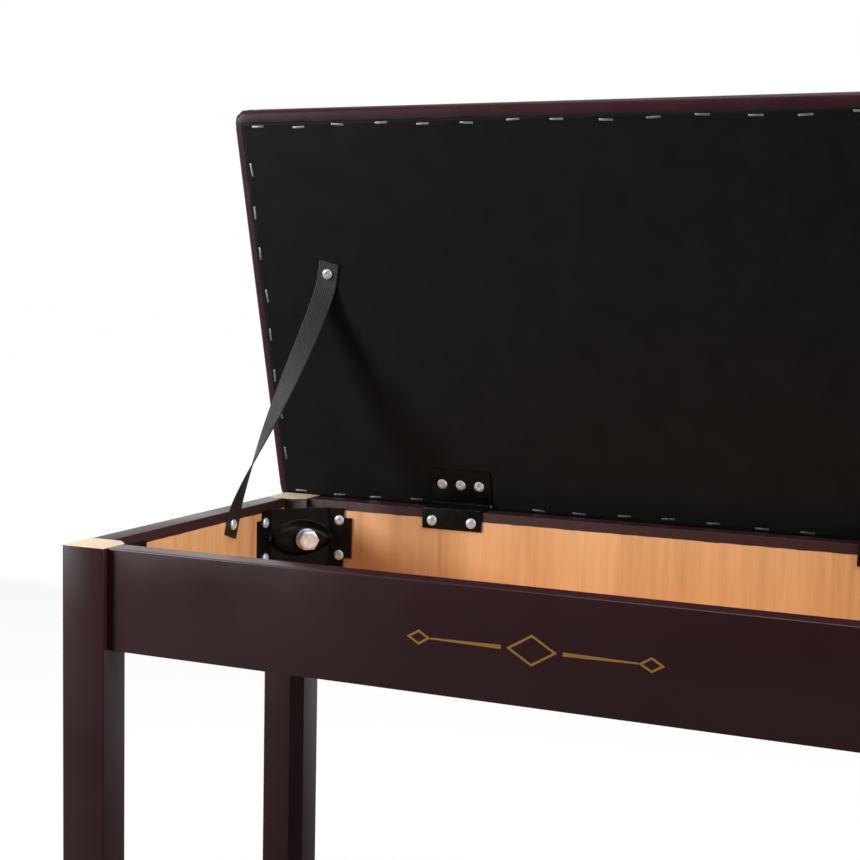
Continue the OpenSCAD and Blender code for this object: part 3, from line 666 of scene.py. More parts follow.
bolt_shells = []
for end in corner_ends:
    for side in corner_sides:
        for part_points, part_faces in (hexagon_head(), bolt_shank()):
            placed = in_corner(bolt_frame(part_points), end, side)
            bolt_shells.append((placed, outward(placed - placed.mean(0), part_faces), 0))
dull_zinc, dull_mottle = mottled("dull_zinc", 240, 4, (0.34, 0.52), (0.3, (0.74, 0.73, 0.69)),
                                 (0.7, (0.95, 0.96, 0.93)), Metallic=0.55, Specular_IOR_Level=0.6)
into_shader(dull_zinc, "Normal", add_bump(dull_zinc, dull_mottle, 0.00008, 0.4))
bolts = mesh_piece("hexagon_bolts", bolt_shells, [dull_zinc])
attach(bolts, "frame")
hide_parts("leg_bolts")


def finish_node(name, finish):
    """Gives a node of the frame its finish."""
    for holder in frame["nodes"][name].material_slots:
        holder.material = finish


for name in ("flat_washers", "spring_washers", "hinge_pin_left", "hinge_pin_right"):
    finish_node(name, zinc)

yellow_zinc, _ = mottled("yellow_zinc", 200, 3, (0.25, 0.40), (0.3, (0.55, 0.45, 0.25)),
                         (0.7, (0.66, 0.58, 0.38)), Metallic=1.0)
finish_node("leg_inserts", yellow_zinc)

glide_plastic, _ = mottled("glide_plastic", 300, 3, (0.45, 0.60), (0.3, (0.010, 0.010, 0.011)),
                           (0.7, (0.020, 0.020, 0.021)), Specular_IOR_Level=0.4)
finish_node("leg_glides", glide_plastic)

# ---- Screws -----------------------------------------------------------------------------------
# Pan-headed wood screws with a cross recess, of bright zinc plate. The same kind holds brackets,
# hinge leaves and straps, in several lengths; those in the hinges' lid leaves have lower heads.
SCREW_HEAD, SCREW_SHANK = 4.75 * MM, 2 * MM
CROSS_REACH, CROSS_HALF, CROSS_DEPTH = 2.5 * MM, 0.62 * MM, 1.0 * MM
HEAD_RISE, LOW_RISE = 2.4 * MM, 1.2 * MM
SCREW_THREAD, SCREW_ROOT, SCREW_TIP, SCREW_POINT = 0.45 * MM, 0.72, 4 * MM, 0.12
screw_spin = np.random.default_rng(7)


def screw_shells(rise, depth):
    """A domed head on a thin square grid squeezed into a circle, with the cross pressed down into it,
    a flat underside, and a tapering threaded shank."""
    reach, half = CROSS_REACH / SCREW_HEAD, CROSS_HALF / SCREW_HEAD
    # the grid's lines, as shares of the head's radius, lie closest at the cross and at the rim
    side = np.array([half, half + 0.06, 0.3, 0.42, reach - 0.05, reach + 0.03, 0.68, 0.8, 0.9, 0.96, 1.0])
    line = np.concatenate([-side[::-1], [0], side])
    u, v = np.meshgrid(line, line, indexing="ij")
    x, y = u * np.sqrt(1 - v * v / 2), v * np.sqrt(1 - u * u / 2)
    r = np.minimum(np.hypot(x, y), 1)
    dome = rise * (1 - r ** 2) ** 0.5 * 0.72 + rise * 0.28 * (r < 0.999)
    arm = np.minimum(abs(u), abs(v)) <= half + 1e-6
    inside = arm & (np.maximum(abs(u), abs(v)) <= reach - 0.04)
    dome = dome - inside * min(CROSS_DEPTH, 0.62 * rise)
    top = np.stack([x.ravel() * SCREW_HEAD, y.ravel() * SCREW_HEAD, dome.ravel()], 1)
    count = len(line)
    number = np.arange(count * count).reshape(count, count)
    rim = np.concatenate([number[:-1, 0], number[-1, :-1], number[:0:-1, -1], number[0, :0:-1]])
    faces = grid_faces(count, count)[:, ::-1].tolist() + [rim.tolist()[::-1]]
    head = (top, outward(top, faces))
    levels = np.arange(0.2 * MM, -depth, -SCREW_THREAD)
    swing = np.where(np.arange(len(levels)) % 2 == 0, 1.0, SCREW_ROOT)
    point = np.clip((depth + levels) / SCREW_TIP, SCREW_POINT, 1)
    return [head, revolved(SCREW_SHANK * swing * point, levels, 12)]


def turned_to(points, way):
    """Points turned so that their z axis runs along a way."""
    way = np.array(way, float) / np.linalg.norm(way)
    sideways = np.cross([0.3, 0.5, 0.81], way)
    sideways /= np.linalg.norm(sideways)
    return points @ np.stack([sideways, np.cross(way, sideways), way])


def spun(points, angle):
    """Points turned about the z axis."""
    c, s = math.cos(angle), math.sin(angle)
    return points @ np.array([[c, s, 0], [-s, c, 0], [0, 0, 1]])


def screws(name, cad_name, body, places, rise, depth):
    """One object of like screws; each place is a point under the head and the way the head looks."""
    shells = []
    for place, way in places:
        spin = screw_spin.uniform(0, math.pi)
        for part_points, part_faces in screw_shells(rise, depth):
            turned = turned_to(spun(part_points, spin), way)
            shells.append((turned + place, outward(turned, part_faces), 0))
    made = mesh_piece(name, shells, [zinc], 50)
    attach(made, body)
    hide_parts(cad_name)


SCREW_PAST_BEND, BRACKET_SCREW_HALF, BRACKET_SCREW_DEPTH = 12.5 * MM, 16.5 * MM, 14 * MM
flange_screw = BRACKET_REACH + SCREW_PAST_BEND
bracket_places = []
for end in corner_ends:
    for side in corner_sides:
        for level in (-BRACKET_SCREW_HALF, BRACKET_SCREW_HALF):
            pair = [[flange_screw, BRACKET_SHEET, level], [BRACKET_SHEET, flange_screw, level]]
            spots = in_corner(np.array(pair), end, side)
            bracket_places.append((spots[0], (0, corner_ends[end], 0)))
            bracket_places.append((spots[1], (corner_sides[side], 0, 0)))
screws("bracket_pan_screws", "bracket_screws", "frame", bracket_places, HEAD_RISE, BRACKET_SCREW_DEPTH)

# ---- Hinges -----------------------------------------------------------------------------------
# Two butt hinges of black steel. One leaf is bent down inside the rear rail, the other lies on the
# dust cover under the seat, and their rolled knuckles turn on a steel pin.
PIN = np.array(frame["record"]["behaviour"]["joints"][0]["pos_m"], float)
SEAT_OPEN = math.radians(75)
HINGE_PLACE, HINGE_WIDTH, LEAF_SHEET = 194 * MM, 58 * MM, 1.5 * MM
KNUCKLES, KNUCKLE_GAP, BARREL, PIN_RADIUS = 5, 0.3 * MM, 2.1 * MM, 1.1 * MM
PIN_HEIGHT, KNUCKLE_EDGE, KNUCKLE_POINTS = 2.4 * MM, 0.2 * MM, 32
TAB_REACH, TAB_CORNER, LEAF_GAP = 1.2 * MM, 0.15 * MM, 0.4 * MM
LEAF_EDGE, LEAF_BEND, LEAF_BEND_INSIDE, LID_CORNER = 0.3 * MM, 1.4 * MM, 0.2 * MM, 2 * MM
RAIL_LEAF_SCREW_DEPTH, LID_LEAF_SCREW_DEPTH = 13.5 * MM, 12 * MM
LID_REACH, LID_SCREW_REACH, LID_SCREW_SPREAD = 33 * MM, 18.5 * MM, 36.5 * MM
RAIL_DROP, RAIL_SCREW_DROP, RAIL_SCREW_SPREAD = 18 * MM, 10.5 * MM, 38.5 * MM


def on_seat(points):
    """Points of the closed seat, measured from the pin, turned about the pin to the open seat."""
    c, s = math.cos(SEAT_OPEN), math.sin(SEAT_OPEN)
    x, y, z = np.asarray(points, float).T
    return np.stack([x, PIN[1] + y * c + z * s, PIN[2] - y * s + z * c], 1)


def rectangle(left, near, right, far):
    """The four corners of a rectangle."""
    return [[left, near], [right, near], [right, far], [left, far]]


def knuckle_shells(first, level):
    """Every second knuckle of the barrel: a ring carried along the pin, and the tab that joins it."""
    turn = np.arange(KNUCKLE_POINTS) * 2 * math.pi / KNUCKLE_POINTS
    width = HINGE_WIDTH / KNUCKLES
    shoulder = BARREL - KNUCKLE_EDGE
    radii = np.array([[PIN_RADIUS], [shoulder], [BARREL], [BARREL], [shoulder], [PIN_RADIUS]])
    shells = []
    for k in range(first, KNUCKLES, 2):
        start = k * width - HINGE_WIDTH / 2 + KNUCKLE_GAP / 2
        stop = start + width - KNUCKLE_GAP
        x = np.array([[start], [start], [start + KNUCKLE_EDGE], [stop - KNUCKLE_EDGE], [stop], [stop]])
        points = np.stack([x + 0 * turn, radii * np.cos(turn), radii * np.sin(turn)], 2).reshape(-1, 3)
        faces = grid_faces(len(radii), KNUCKLE_POINTS, wrap_rows=True, wrap_columns=True).tolist()
        shells.append((points, outward(points - points.mean(0), faces), 0))
        tab = rounded(rectangle(start, -BARREL - TAB_REACH, stop, -0.4 * BARREL), TAB_CORNER)
        shells.append(prism(tab, level, level + LEAF_SHEET, KNUCKLE_EDGE))
    return shells


def finish_leaf(name, cad_name, body, shells):
    """One hinge leaf with its knuckles."""
    made = mesh_piece(name, shells, [black_steel])
    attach(made, body)
    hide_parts(cad_name)


rail_reach = PIN[1] - back_wall + LEAF_SHEET
half_hinge = HINGE_WIDTH / 2
leaf_edge = -BARREL - LEAF_GAP
lid_level = PIN_HEIGHT - LEAF_SHEET
rail_screw_places, lid_screw_places = [], []
for side, sign in (("left", -1), ("right", 1)):
    across = sign * HINGE_PLACE
    # the rail leaf's section is an L with a rounded bend, carried along the pin
    bend = [[-rail_reach, -PIN_HEIGHT - RAIL_DROP], [-rail_reach + LEAF_SHEET, -PIN_HEIGHT - RAIL_DROP],
            [-rail_reach + LEAF_SHEET, -PIN_HEIGHT], [leaf_edge, -PIN_HEIGHT],
            [leaf_edge, -PIN_HEIGHT + LEAF_SHEET], [-rail_reach, -PIN_HEIGHT + LEAF_SHEET]]
    bend_radii = [LEAF_EDGE, LEAF_EDGE] + [LEAF_BEND_INSIDE] * 3 + [LEAF_BEND]
    rail_shell = prism(rounded(bend, bend_radii, 5), -half_hinge, half_hinge, LEAF_EDGE, axes=(1, 2, 0))
    rail_shells = [(points + [across, PIN[1], PIN[2]], faces, slots)
                   for points, faces, slots in [rail_shell] + knuckle_shells(0, -PIN_HEIGHT)]
    finish_leaf(f"{side}_rail_leaf", f"hinge_rail_leaf_{side}", "frame", rail_shells)
    lid_outline = rounded(rectangle(-half_hinge, -LID_REACH, half_hinge, leaf_edge),
                          [LID_CORNER, LID_CORNER, LEAF_EDGE, LEAF_EDGE], 4)
    lid_shell = prism(lid_outline, lid_level, PIN_HEIGHT, LEAF_EDGE)
    lid_shells = [(on_seat(points + [across, 0, 0]), faces, slots)
                  for points, faces, slots in [lid_shell] + knuckle_shells(1, lid_level)]
    finish_leaf(f"{side}_lid_leaf", f"hinge_lid_leaf_{side}", "seat", lid_shells)
    for place in (-1, 1):
        rail_screw_places.append(((across + place * RAIL_SCREW_SPREAD / 2, back_wall - LEAF_SHEET,
                                   rail_top - RAIL_SCREW_DROP), (0, -1, 0)))
    for place in (-1, 0, 1):
        spot = on_seat([[across + place * LID_SCREW_SPREAD / 2, -LID_SCREW_REACH, lid_level]])[0]
        lid_screw_places.append((spot, (0, -math.sin(SEAT_OPEN), -math.cos(SEAT_OPEN))))
screws("rail_leaf_pan_screws", "rail_leaf_screws", "frame", rail_screw_places, HEAD_RISE,
       RAIL_LEAF_SCREW_DEPTH)

# ---- Seat board -------------------------------------------------------------------------------
# A sheet of plywood under the padding. The covers are stapled to it and the hinges are screwed
# through them into it.
SEAT_HALF, SEAT_FRONT, SEAT_REAR = 390 * MM, -363.6 * MM, 14.4 * MM
BOARD_INSET, BOARD_EDGE, BOARD_FLOOR, BOARD_TOP = 4 * MM, 3 * MM, 3.8 * MM, 15.8 * MM
SEAT_EDGE = 12 * MM
board_wood, board_colour = bare_wood("seat_plywood", (3, 60, 60))
into_shader(board_wood, "Base Color", board_colour)


def seat_corners(inset):
    """The seat's four corners, drawn in from its edge."""
    return rectangle(inset - SEAT_HALF, SEAT_FRONT + inset, SEAT_HALF - inset, SEAT_REAR - inset)


board_outline = rounded(seat_corners(BOARD_INSET), SEAT_EDGE - BOARD_INSET, 6)
board_points, board_faces, _ = prism(board_outline, BOARD_FLOOR, BOARD_TOP, BOARD_EDGE, steps=4)
board = mesh_piece("plywood_seat_board", [(on_seat(board_points), board_faces, 0)], [board_wood])
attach(board, "seat")
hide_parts("seat_board")

# ---- Seat pad ---------------------------------------------------------------------------------
# Foam under a burgundy vinyl cover, pulled tight round the board, pleated at the corners and
# stapled underneath. The vinyl swells softly over the foam and lies flat on the board's underside.
SEAT_TOP, SEAT_FLOOR, SEAT_LIP = 44.4 * MM, 2.8 * MM, 3 * MM
PAD_SLACK, PAD_VOXEL, PAD_PRESSURE, PAD_SWELL = 0.9 * MM, 5.5 * MM, 4.0, 3 * MM
PAD_FRAMES, PAD_PROUD, PAD_STRAIGHT = 20, 0.9 * MM, 4 * MM
PLEATS, PLEAT_START, PLEAT_DEPTH, PLEAT_REACH = 10, 0.6, 0.2 * MM, 30 * MM
PLEAT_TOP, PLEAT_FADE, SIDE_FLOOR, SIDE_FADE = 30 * MM, 22 * MM, 3.5 * MM, 3 * MM
UNDER_TOP, UNDER_FADE, PULL_DEPTH, PULL_STEPS = 7 * MM, 4 * MM, 0.35 * MM, (40.3 * MM, 38.8 * MM)


def pad_shell(slack):
    """The padded block: its outline is carried up, rolled over tightly below and broadly above, and
    drawn in by slack above the board so that the foam can swell."""
    outline, way = rounded(seat_corners(0), SEAT_EDGE, 8)
    a = np.linspace(0, math.pi / 2, 7)
    inset = np.concatenate([SEAT_LIP * (1 - np.sin(a)), [0, slack], slack + SEAT_EDGE * (1 - np.cos(a))])
    height = np.concatenate([SEAT_FLOOR + SEAT_LIP * (1 - np.cos(a)), [BOARD_TOP, BOARD_TOP + PAD_STRAIGHT],
                             SEAT_TOP - slack - SEAT_EDGE * (1 - np.sin(a))])
    rings = outline[None] - np.minimum(inset, SEAT_EDGE)[:, None, None] * way[None]
    points = np.concatenate([rings, np.broadcast_to(height[:, None, None], (*rings.shape[:2], 1))], 2)
    points = points.reshape(-1, 3)
    return points, outward(points, tube_faces(len(inset), len(outline))), 0


def settled(made):
    """Replaces an object's mesh by what its modifiers make of it, and takes the modifiers off."""
    bpy.context.view_layer.update()
    shown = made.evaluated_get(bpy.context.evaluated_depsgraph_get())
    mesh = bpy.data.meshes.new_from_object(shown)
    made.modifiers.clear()
    made.data = mesh


def coordinates(made):
    """The mesh's points as an array."""
    flat = np.empty(3 * len(made.data.vertices))
    made.data.vertices.foreach_get("co", flat)
    return flat.reshape(-1, 3)


def swell(made, voxel, pressure, most, frames):
    """Remeshes a pad evenly and blows it up as cloth whose lower part is fixed to the board. No point
    moves further than most."""
    modifier(made, "REMESH", mode="VOXEL", voxel_size=voxel)
    settled(made)
    start = coordinates(made)
    pins = made.vertex_groups.new(name="fixed_to_board")
    pins.add(np.nonzero(start[:, 2] < BOARD_TOP)[0].tolist(), 1.0, "REPLACE")
    cloth = made.modifiers.new("cloth", "CLOTH")
    cloth.settings.quality = 4
    cloth.settings.use_pressure = True
    cloth.settings.uniform_pressure_force = pressure
    cloth.settings.effector_weights.gravity = 0
    cloth.settings.vertex_group_mass = "fixed_to_board"
    cloth.settings.tension_stiffness = cloth.settings.compression_stiffness = 12
    cloth.settings.bending_stiffness = 2
    cloth.point_cache.frame_end = frames
    for number in range(1, frames + 1):
        bpy.context.scene.frame_set(number)
    settled(made)
    bpy.context.scene.frame_set(1)
    moved = coordinates(made) - start
    far = np.linalg.norm(moved, axis=1)[:, None]
    swollen = start + moved * np.minimum(1, most / np.maximum(far, 1e-9))
    made.data.vertices.foreach_set("co", swollen.ravel())
    made.vertex_groups.clear()


def pleated(points):
    """Folds at the corners and a light pull at each staple. Round a corner the skin goes in and out
    with the angle; the folds fade upwards and away from the corner."""
    x, y, z = points.T
    middle_y = (SEAT_FRONT + SEAT_REAR) / 2
    corner_x = np.sign(x) * (SEAT_HALF - SEAT_EDGE)
    corner_y = middle_y + np.sign(y - middle_y) * ((SEAT_REAR - SEAT_FRONT) / 2 - SEAT_EDGE)
    away_x, away_y = (x - corner_x) * np.sign(x), (y - corner_y) * np.sign(y - middle_y)
    angle = np.arctan2(away_y, away_x)
    near = smooth(1 - np.hypot(np.maximum(-away_x, 0), np.maximum(-away_y, 0)) / PLEAT_REACH)
    fold = np.sin(angle * PLEATS + PLEAT_START) * near
    low = smooth((PLEAT_TOP - z) / PLEAT_FADE)
    out = np.stack([np.cos(angle) * np.sign(x), np.sin(angle) * np.sign(y - middle_y)], 1)
    side = smooth((z - SIDE_FLOOR) / SIDE_FADE)
    points = points.copy()
    points[:, :2] += out * (PLEAT_DEPTH * fold * low * side)[:, None]
    under = smooth((UNDER_TOP - z) / UNDER_FADE)
    waves = np.cos(x * 2 * math.pi / PULL_STEPS[0]) + np.cos(y * 2 * math.pi / PULL_STEPS[1])
    edge_pull = PULL_DEPTH * waves
    points[:, 2] -= np.maximum(0, 0.55 * PLEAT_DEPTH * fold) * under - edge_pull * under * (1 - near) * side
    return points


def vinyl_bump(made):
    """Leather grain: small rounded cells between creases, over a slow unevenness of the foam."""
    warp = pattern(made, "TexNoise", Scale=260, Detail=2)
    cells = pattern(made, "TexVoronoi", Scale=620)
    cells.feature = "DISTANCE_TO_EDGE"
    crease = span(made, cells.outputs["Distance"], 0.0, 0.22)
    slow = pattern(made, "TexNoise", Scale=34, Detail=2)
    first = add_bump(made, slow.outputs["Fac"], 0.0004, 0.25)
    second = add_bump(made, warp.outputs["Fac"], 0.0001, 0.4, first)
    return add_bump(made, crease, 0.00012, 0.45, second)


vinyl = new_material("burgundy_vinyl", Specular_IOR_Level=0.2)
vinyl_cloud = pattern(vinyl, "TexNoise", Scale=7, Detail=4)
into_shader(vinyl, "Base Color", ramp(vinyl, vinyl_cloud.outputs["Fac"],
                                      (0.3, (0.034, 0.0088, 0.0130)), (0.7, (0.044, 0.0130, 0.0180))))
vinyl_shine = pattern(vinyl, "TexNoise", Scale=60, Detail=3)
into_shader(vinyl, "Roughness", span(vinyl, vinyl_shine.outputs["Fac"], 0.3, 0.7, 0.34, 0.48))
into_shader(vinyl, "Normal", vinyl_bump(vinyl))

pad = mesh_piece("vinyl_seat_pad", [pad_shell(PAD_SLACK)], [vinyl], 80)
swell(pad, PAD_VOXEL, PAD_PRESSURE, PAD_SWELL, PAD_FRAMES)
modifier(pad, "SMOOTH", factor=0.5, iterations=3)
modifier(pad, "SUBSURF", levels=1, render_levels=1)
settled(pad)
pad_points = pleated(coordinates(pad))
pad_points[:, 2] = np.maximum(pad_points[:, 2], SEAT_FLOOR - PAD_PROUD)
pad.data.vertices.foreach_set("co", on_seat(pad_points).ravel())
pad.data.materials.clear()
pad.data.materials.append(vinyl)
pad.data.update()
pad.data.shade_smooth()
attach(pad, "seat")
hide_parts("seat_cover", "seat_foam")

# ---- Dust cover -------------------------------------------------------------------------------
# One cut of black non-woven cloth with raw edges, stapled flat to the seat's underside
# close to its edge. It puckers a little between the staples.
DUST_INSET, DUST_SHEET, DUST_COLUMNS, DUST_ROWS = 10 * MM, 0.4 * MM, 229, 109
EDGE_WAVE, RIPPLE_DEPTH, PUCKER_DEPTH, DUST_GAP = 0.7 * MM, 0.35 * MM, 0.45 * MM, 0.02 * MM
HINGE_CALM, RIPPLE_REACH, PUCKER_REACH = 25 * MM, 30 * MM, 9 * MM
STAPLE_INSET, STAPLE_CROWN, STAPLE_WANDER = 14.5 * MM, 12.8 * MM, 1.2
staple_x = SEAT_HALF - STAPLE_INSET
staple_near, staple_far = SEAT_FRONT + STAPLE_INSET, SEAT_REAR - STAPLE_INSET
COLUMNS, ROWS = 18, 9
staple_step_x = 2 * (staple_x - STAPLE_CROWN) / COLUMNS
staple_step_y = (staple_far - staple_near) / ROWS


def dust_points(columns, rows):
    """A flat sheet whose edge waves in between staples and whose face stands off the board: by a sum
    of two slow waves that fades towards the edge, and by puckers between the staples that fade away
    from it. It lies flat at the hinges."""
    half_x, near, far = SEAT_HALF - DUST_INSET, SEAT_FRONT + DUST_INSET, SEAT_REAR - DUST_INSET
    u, v = np.meshgrid(np.linspace(-1, 1, columns), np.linspace(0, 1, rows), indexing="ij")
    x, y = u * half_x, near + v * (far - near)
    wave_x = abs(np.sin(math.pi * (x - staple_x + STAPLE_CROWN) / staple_step_x))
    wave_y = abs(np.sin(math.pi * (y - staple_near) / staple_step_y))
    y = y + EDGE_WAVE * wave_x * (smooth(1 - v * 12) - smooth(1 - (1 - v) * 12))
    x = x - EDGE_WAVE * wave_y * np.sign(u) * smooth((abs(u) - 0.94) / 0.06)
    edge = np.minimum(np.minimum(v, 1 - v) * (far - near), (1 - abs(u)) * half_x)
    beside_hinge = np.maximum(abs(abs(x) - HINGE_PLACE) - half_hinge, 0)
    calm = smooth(np.hypot(beside_hinge, np.maximum(abs(y) - LID_REACH, 0)) / HINGE_CALM)
    ripple = 0.5 + 0.25 * np.sin(23 * x + 9 * y) + 0.25 * np.sin(31 * y - 13 * x + 1.3)
    pucker = np.exp(-edge / PUCKER_REACH) * np.maximum(wave_x * (abs(u) < 0.95), wave_y * (abs(u) > 0.95))
    lift = RIPPLE_DEPTH * ripple * smooth(edge / RIPPLE_REACH) + PUCKER_DEPTH * pucker
    z = SEAT_FLOOR - DUST_GAP - calm * lift
    return np.stack([x.ravel(), y.ravel(), z.ravel()], 1)


dust_cloth = new_material("black_dust_cloth", Specular_IOR_Level=0.12,
                          Sheen_Weight=0.01, Sheen_Roughness=0.5)
fibres = pattern(dust_cloth, "TexNoise", Scale=2600, Detail=4, Roughness=0.7)
felt = pattern(dust_cloth, "TexNoise", Scale=45, Detail=5, Roughness=0.6)
felt_mix = node(dust_cloth, "Mix", {"Factor": 0.5, "A": fibres.outputs["Fac"], "B": felt.outputs["Fac"]})
into_shader(dust_cloth, "Base Color", ramp(dust_cloth, felt_mix.outputs["Result"],
                                           (0.35, (0.0034, 0.0037, 0.0046)),
                                           (0.65, (0.0072, 0.0078, 0.0094))))
into_shader(dust_cloth, "Roughness", span(dust_cloth, fibres.outputs["Fac"], 0.3, 0.7, 0.50, 0.70))
bonds = pattern(dust_cloth, "TexVoronoi", Scale=900)
bond_bump = add_bump(dust_cloth, bonds.outputs["Distance"], 0.0001, 0.3)
into_shader(dust_cloth, "Normal", add_bump(dust_cloth, fibres.outputs["Fac"], 0.0001, 0.5, bond_bump))

dust_faces = grid_faces(DUST_COLUMNS, DUST_ROWS).tolist()
dust_shell = (on_seat(dust_points(DUST_COLUMNS, DUST_ROWS)), dust_faces, 0)
dust = mesh_piece("dust_cover_cloth", [dust_shell], [dust_cloth], 80)
modifier(dust, "SOLIDIFY", thickness=DUST_SHEET, offset=1.0)
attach(dust, "seat")
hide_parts("dust_cover")
# the lid leaves' screws go through this cover into the board
screws("lid_leaf_low_screws", "lid_leaf_screws", "seat", lid_screw_places, LOW_RISE, LID_LEAF_SCREW_DEPTH)

# ---- Staples ----------------------------------------------------------------------------------
# Flat galvanised wire staples, shot in by hand through dust cover and vinyl into the board, so they
# wander from their line and lean a little.
STAPLE_WIDTH, STAPLE_WIRE, STAPLE_LEG, STAPLE_PROUD = 1.8 * MM, 0.6 * MM, 8 * MM, 0.3 * MM
STAPLE_BEND, STAPLE_CORNER = 0.7 * MM, 0.2 * MM


def staple_shape():
    """The wire's rounded section carried up one leg, round a tight bend, along the crown and down."""
    half_width, half_wire = STAPLE_WIDTH / 2, STAPLE_WIRE / 2
    section, _ = rounded(rectangle(-half_width, -half_wire, half_width, half_wire), STAPLE_CORNER, 2)
    half = STAPLE_CROWN / 2 - half_wire
    a = np.linspace(0, math.pi / 2, 4)
    corner = np.stack([half - STAPLE_BEND + STAPLE_BEND * np.cos(a), STAPLE_BEND * (1 - np.sin(a)), a], 1)
    leg = [[half, STAPLE_LEG, 0]]
    right = np.concatenate([leg, corner])
    left = right[::-1] * [-1, 1, -1] + [0, 0, math.pi]
    route = np.concatenate([right, left])
    x = route[:, None, 0] + section[None, :, 1] * np.cos(route[:, None, 2])
    z = route[:, None, 1] - section[None, :, 1] * np.sin(route[:, None, 2])
    y = np.broadcast_to(section[None, :, 0], x.shape)
    points = np.stack([x, y, z + half_wire], 2).reshape(-1, 3)
    return points, outward(points, tube_faces(len(route), len(section)))


def sine(degrees):
    """The sine of an angle in degrees."""
    return math.sin(math.radians(degrees))


wander, lean = STAPLE_WANDER * MM, 3 * STAPLE_WANDER
staple_spots = []
for i in range(COLUMNS + 1):
    x = (2 * i / COLUMNS - 1) * (staple_x - STAPLE_CROWN) + wander * sine(140 * i)
    staple_spots.append((x, staple_near + wander * sine(100 * i), lean * sine(230 * i)))
    if abs(abs(x) - HINGE_PLACE) > (HINGE_WIDTH + STAPLE_CROWN) / 2 + wander:
        staple_spots.append((x, staple_far + wander * sine(70 * i), lean * sine(310 * i)))
for sign in (-1, 1):
    for i in range(1, ROWS):
        x = sign * staple_x + wander * sine(110 * i)
        y = staple_near + staple_step_y * i + wander * sine(190 * i)
        staple_spots.append((x, y, 90 + lean * sine(250 * i)))
staple_points, staple_faces = staple_shape()
staple_shells = []
for x, y, turn in staple_spots:
    turned = spun(staple_points, math.radians(turn))
    staple_shells.append((on_seat(turned + [x, y, PIN_HEIGHT - STAPLE_PROUD]), staple_faces, 0))
staple_steel, _ = mottled("staple_wire", 500, 3, (0.40, 0.60), (0.3, (0.22, 0.23, 0.24)),
                          (0.7, (0.46, 0.47, 0.48)), Metallic=1.0)
staple_set = mesh_piece("wire_staples", staple_shells, [staple_steel])
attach(staple_set, "seat")
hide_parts("staples")

# ---- Straps -----------------------------------------------------------------------------------
# A length of black ribbed webbing at each side, screwed to the inside of the side rail and to the
# underside of the seat. It twists a quarter turn on the way, and stops the seat as it opens.
STRAP_WIDTH, STRAP_SHEET, STRAP_GAP = 20 * MM, 1.2 * MM, 0.2 * MM
STRAP_TAIL, STRAP_FLAT, STRAP_HANDLE, STRAP_HASTE = 11 * MM, 7 * MM, 34 * MM, 0.6
STRAP_STATIONS, STRAP_RIBS, RIB_STEP, RIB_DEPTH, STRAP_EDGE = 97, 12, 2.5 * MM, 0.12, 0.5 * MM
STRAP_RAIL_SCREW_DEPTH, STRAP_SEAT_SCREW_DEPTH, STRAP_TURNING = 13 * MM, 11 * MM, 0.6
STRAP_RAIL_PLACE, STRAP_RAIL_DROP = 216 * MM, 12 * MM
STRAP_SEAT_INSET, STRAP_SEAT_REACH = 72 * MM, 215.6 * MM
strap_face = STRAP_GAP + STRAP_SHEET / 2
head_seat = 2 * STRAP_GAP + STRAP_SHEET
leg_front = float(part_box("leg_front_left")[0][1])
leg_outside = float(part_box("leg_front_left")[0][0])
rail_spot = np.array([-inner_x, leg_front + STRAP_RAIL_PLACE, rail_top - STRAP_RAIL_DROP])
seat_spot = on_seat([[leg_outside + STRAP_SEAT_INSET, -STRAP_SEAT_REACH, PIN_HEIGHT]])[0]
rail_way = np.array([1.0, 0, 0])
seat_way = np.array([0, -math.sin(SEAT_OPEN), -math.cos(SEAT_OPEN)])
strap_start, strap_end = rail_spot + strap_face * rail_way, seat_spot + strap_face * seat_way


def unit(v):
    """Each row of v at length 1."""
    return v / np.linalg.norm(v, axis=-1, keepdims=True)


def across_way(v, way):
    """What is left of v once its part along way is taken out, at length 1."""
    return unit(v - (v * way).sum(-1, keepdims=True) * way)


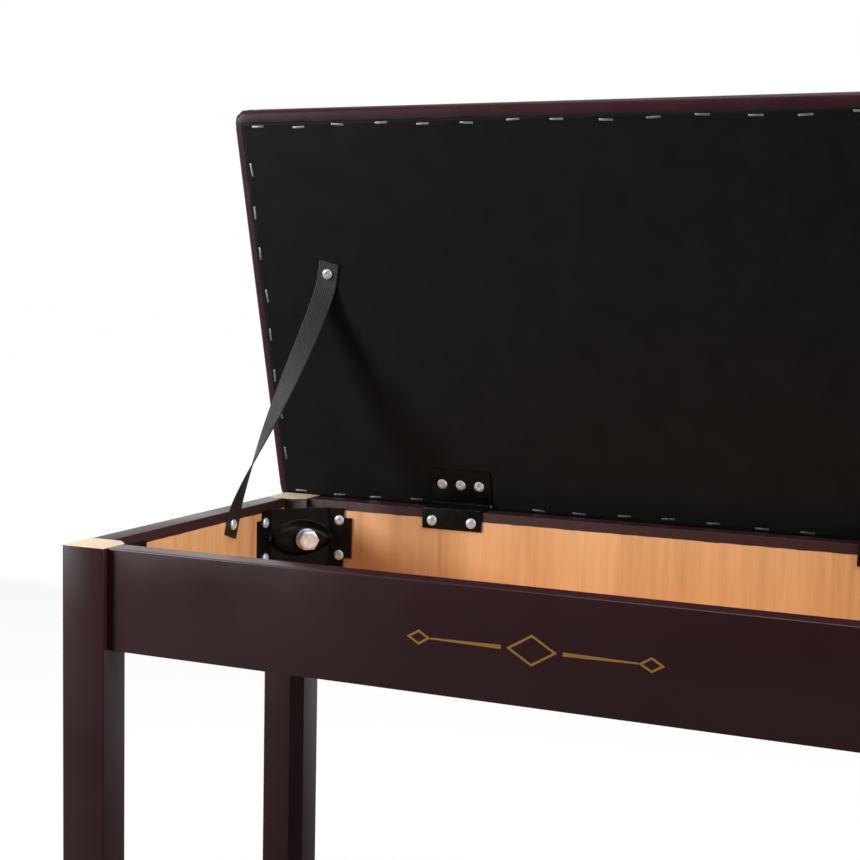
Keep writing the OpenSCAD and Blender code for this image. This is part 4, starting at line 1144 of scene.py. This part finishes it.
def strap_shell():
    """Webbing along a cubic curve between the two screws, straight and flat past each screw. The side
    that looks away from the rail ends up lying on the seat, with most of the turn low down, and its
    section is a rounded bar with fine ribs. Returns the shell and each point's place across and along."""
    run = strap_end - strap_start
    start_way, end_way = across_way(run, rail_way), across_way(run, seat_way)
    leave, arrive = strap_start + STRAP_FLAT * start_way, strap_end - STRAP_FLAT * end_way
    t = np.linspace(0, 1, STRAP_STATIONS)[:, None]
    b, c = leave + STRAP_HANDLE * start_way, arrive - STRAP_HANDLE * end_way
    curve = leave * (1 - t) ** 3 + 3 * b * t * (1 - t) ** 2 + 3 * c * t * t * (1 - t) + arrive * t ** 3
    tail = np.linspace(1, 0.05, 10)[:, None] * (STRAP_FLAT + STRAP_TAIL)
    line = np.concatenate([leave - tail * start_way, curve, arrive + tail[::-1] * end_way])
    turn = smooth(np.concatenate([0 * tail, t, 1 + 0 * tail]) ** STRAP_HASTE)
    way = unit(np.gradient(line, axis=0))
    normal = across_way((1 - turn) * rail_way - turn * seat_way, way)
    side = np.cross(normal, way)
    half_width, half_sheet = STRAP_WIDTH / 2, STRAP_SHEET / 2
    bar, _ = rounded(rectangle(-half_width, -half_sheet, half_width, half_sheet), STRAP_EDGE, 3)
    ribs = np.linspace(-0.44, 0.44, STRAP_RIBS) * STRAP_WIDTH
    under = np.stack([ribs, -half_sheet * (1 - RIB_DEPTH * np.cos(ribs * 2 * math.pi / RIB_STEP))], 1)
    # the section's points are put in order by their angle, with the long way squeezed
    section = np.concatenate([bar, under, under * [1, -1]])
    section = section[np.argsort(np.arctan2(section[:, 1], section[:, 0] / 12))]
    points = line[:, None] + section[None, :, :1] * side[:, None] + section[None, :, 1:] * normal[:, None]
    length = np.concatenate([[0], np.cumsum(np.linalg.norm(np.diff(line, axis=0), axis=1))])
    places = np.stack(np.broadcast_arrays(section[None, :, 0], length[:, None]), 2).reshape(-1, 2)
    return points.reshape(-1, 3), tube_faces(len(line), len(section)), places


webbing = new_material("black_webbing", Specular_IOR_Level=0.45, Sheen_Weight=0.03, Sheen_Roughness=0.35)
weave_place = node(webbing, "UVMap", uv_map="weave")
weave_map = node(webbing, "Mapping", {"Vector": weave_place.outputs["UV"], "Scale": (1000, 1000, 1000)})
warps = node(webbing, "TexWave", {"Vector": weave_map.outputs["Vector"], "Scale": 0.16,
                                  "Distortion": 0.6, "Detail": 1})
picks_map = node(webbing, "Mapping", {"Vector": weave_map.outputs["Vector"],
                                      "Rotation": (0, 0, math.radians(62))})
picks = node(webbing, "TexWave", {"Vector": picks_map.outputs["Vector"], "Scale": 0.30,
                                  "Distortion": 0.4, "Detail": 1})
yarn = node(webbing, "Mix", {"Factor": 0.5, "A": warps.outputs["Fac"], "B": picks.outputs["Fac"]})
into_shader(webbing, "Base Color", ramp(webbing, yarn.outputs["Result"],
                                        (0.2, (0.0035, 0.0035, 0.0038)), (0.8, (0.0150, 0.0152, 0.0150))))
into_shader(webbing, "Roughness", span(webbing, yarn.outputs["Result"], 0.2, 0.8, 0.62, 0.42))
into_shader(webbing, "Normal", add_bump(webbing, yarn.outputs["Result"], 0.0003, 0.8))

for side, sign in (("left", 1), ("right", -1)):
    points, faces, places = strap_shell()
    mirrored = np.array([sign, 1, 1])
    points = points * mirrored
    faces = outward(points - points.mean(0), faces)
    strap = mesh_piece(f"{side}_webbing_strap", [(points, faces, 0)], [webbing], 60)
    corner_of = np.empty(len(strap.data.loops), np.int32)
    strap.data.loops.foreach_get("vertex_index", corner_of)
    weave = strap.data.uv_layers.new(name="weave")
    weave.data.foreach_set("uv", places[corner_of].ravel())
    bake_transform(strap)
    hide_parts(f"strap_{side}")
both = np.array([[1, 1, 1], [-1, 1, 1]])
screws("strap_rail_pan_screws", "strap_rail_screws", "frame",
       [((rail_spot + head_seat * rail_way) * flip, rail_way * flip) for flip in both],
       HEAD_RISE, STRAP_RAIL_SCREW_DEPTH)
screws("strap_seat_pan_screws", "strap_seat_screws", "seat",
       [((seat_spot + head_seat * seat_way) * flip, seat_way) for flip in both],
       HEAD_RISE, STRAP_SEAT_SCREW_DEPTH)
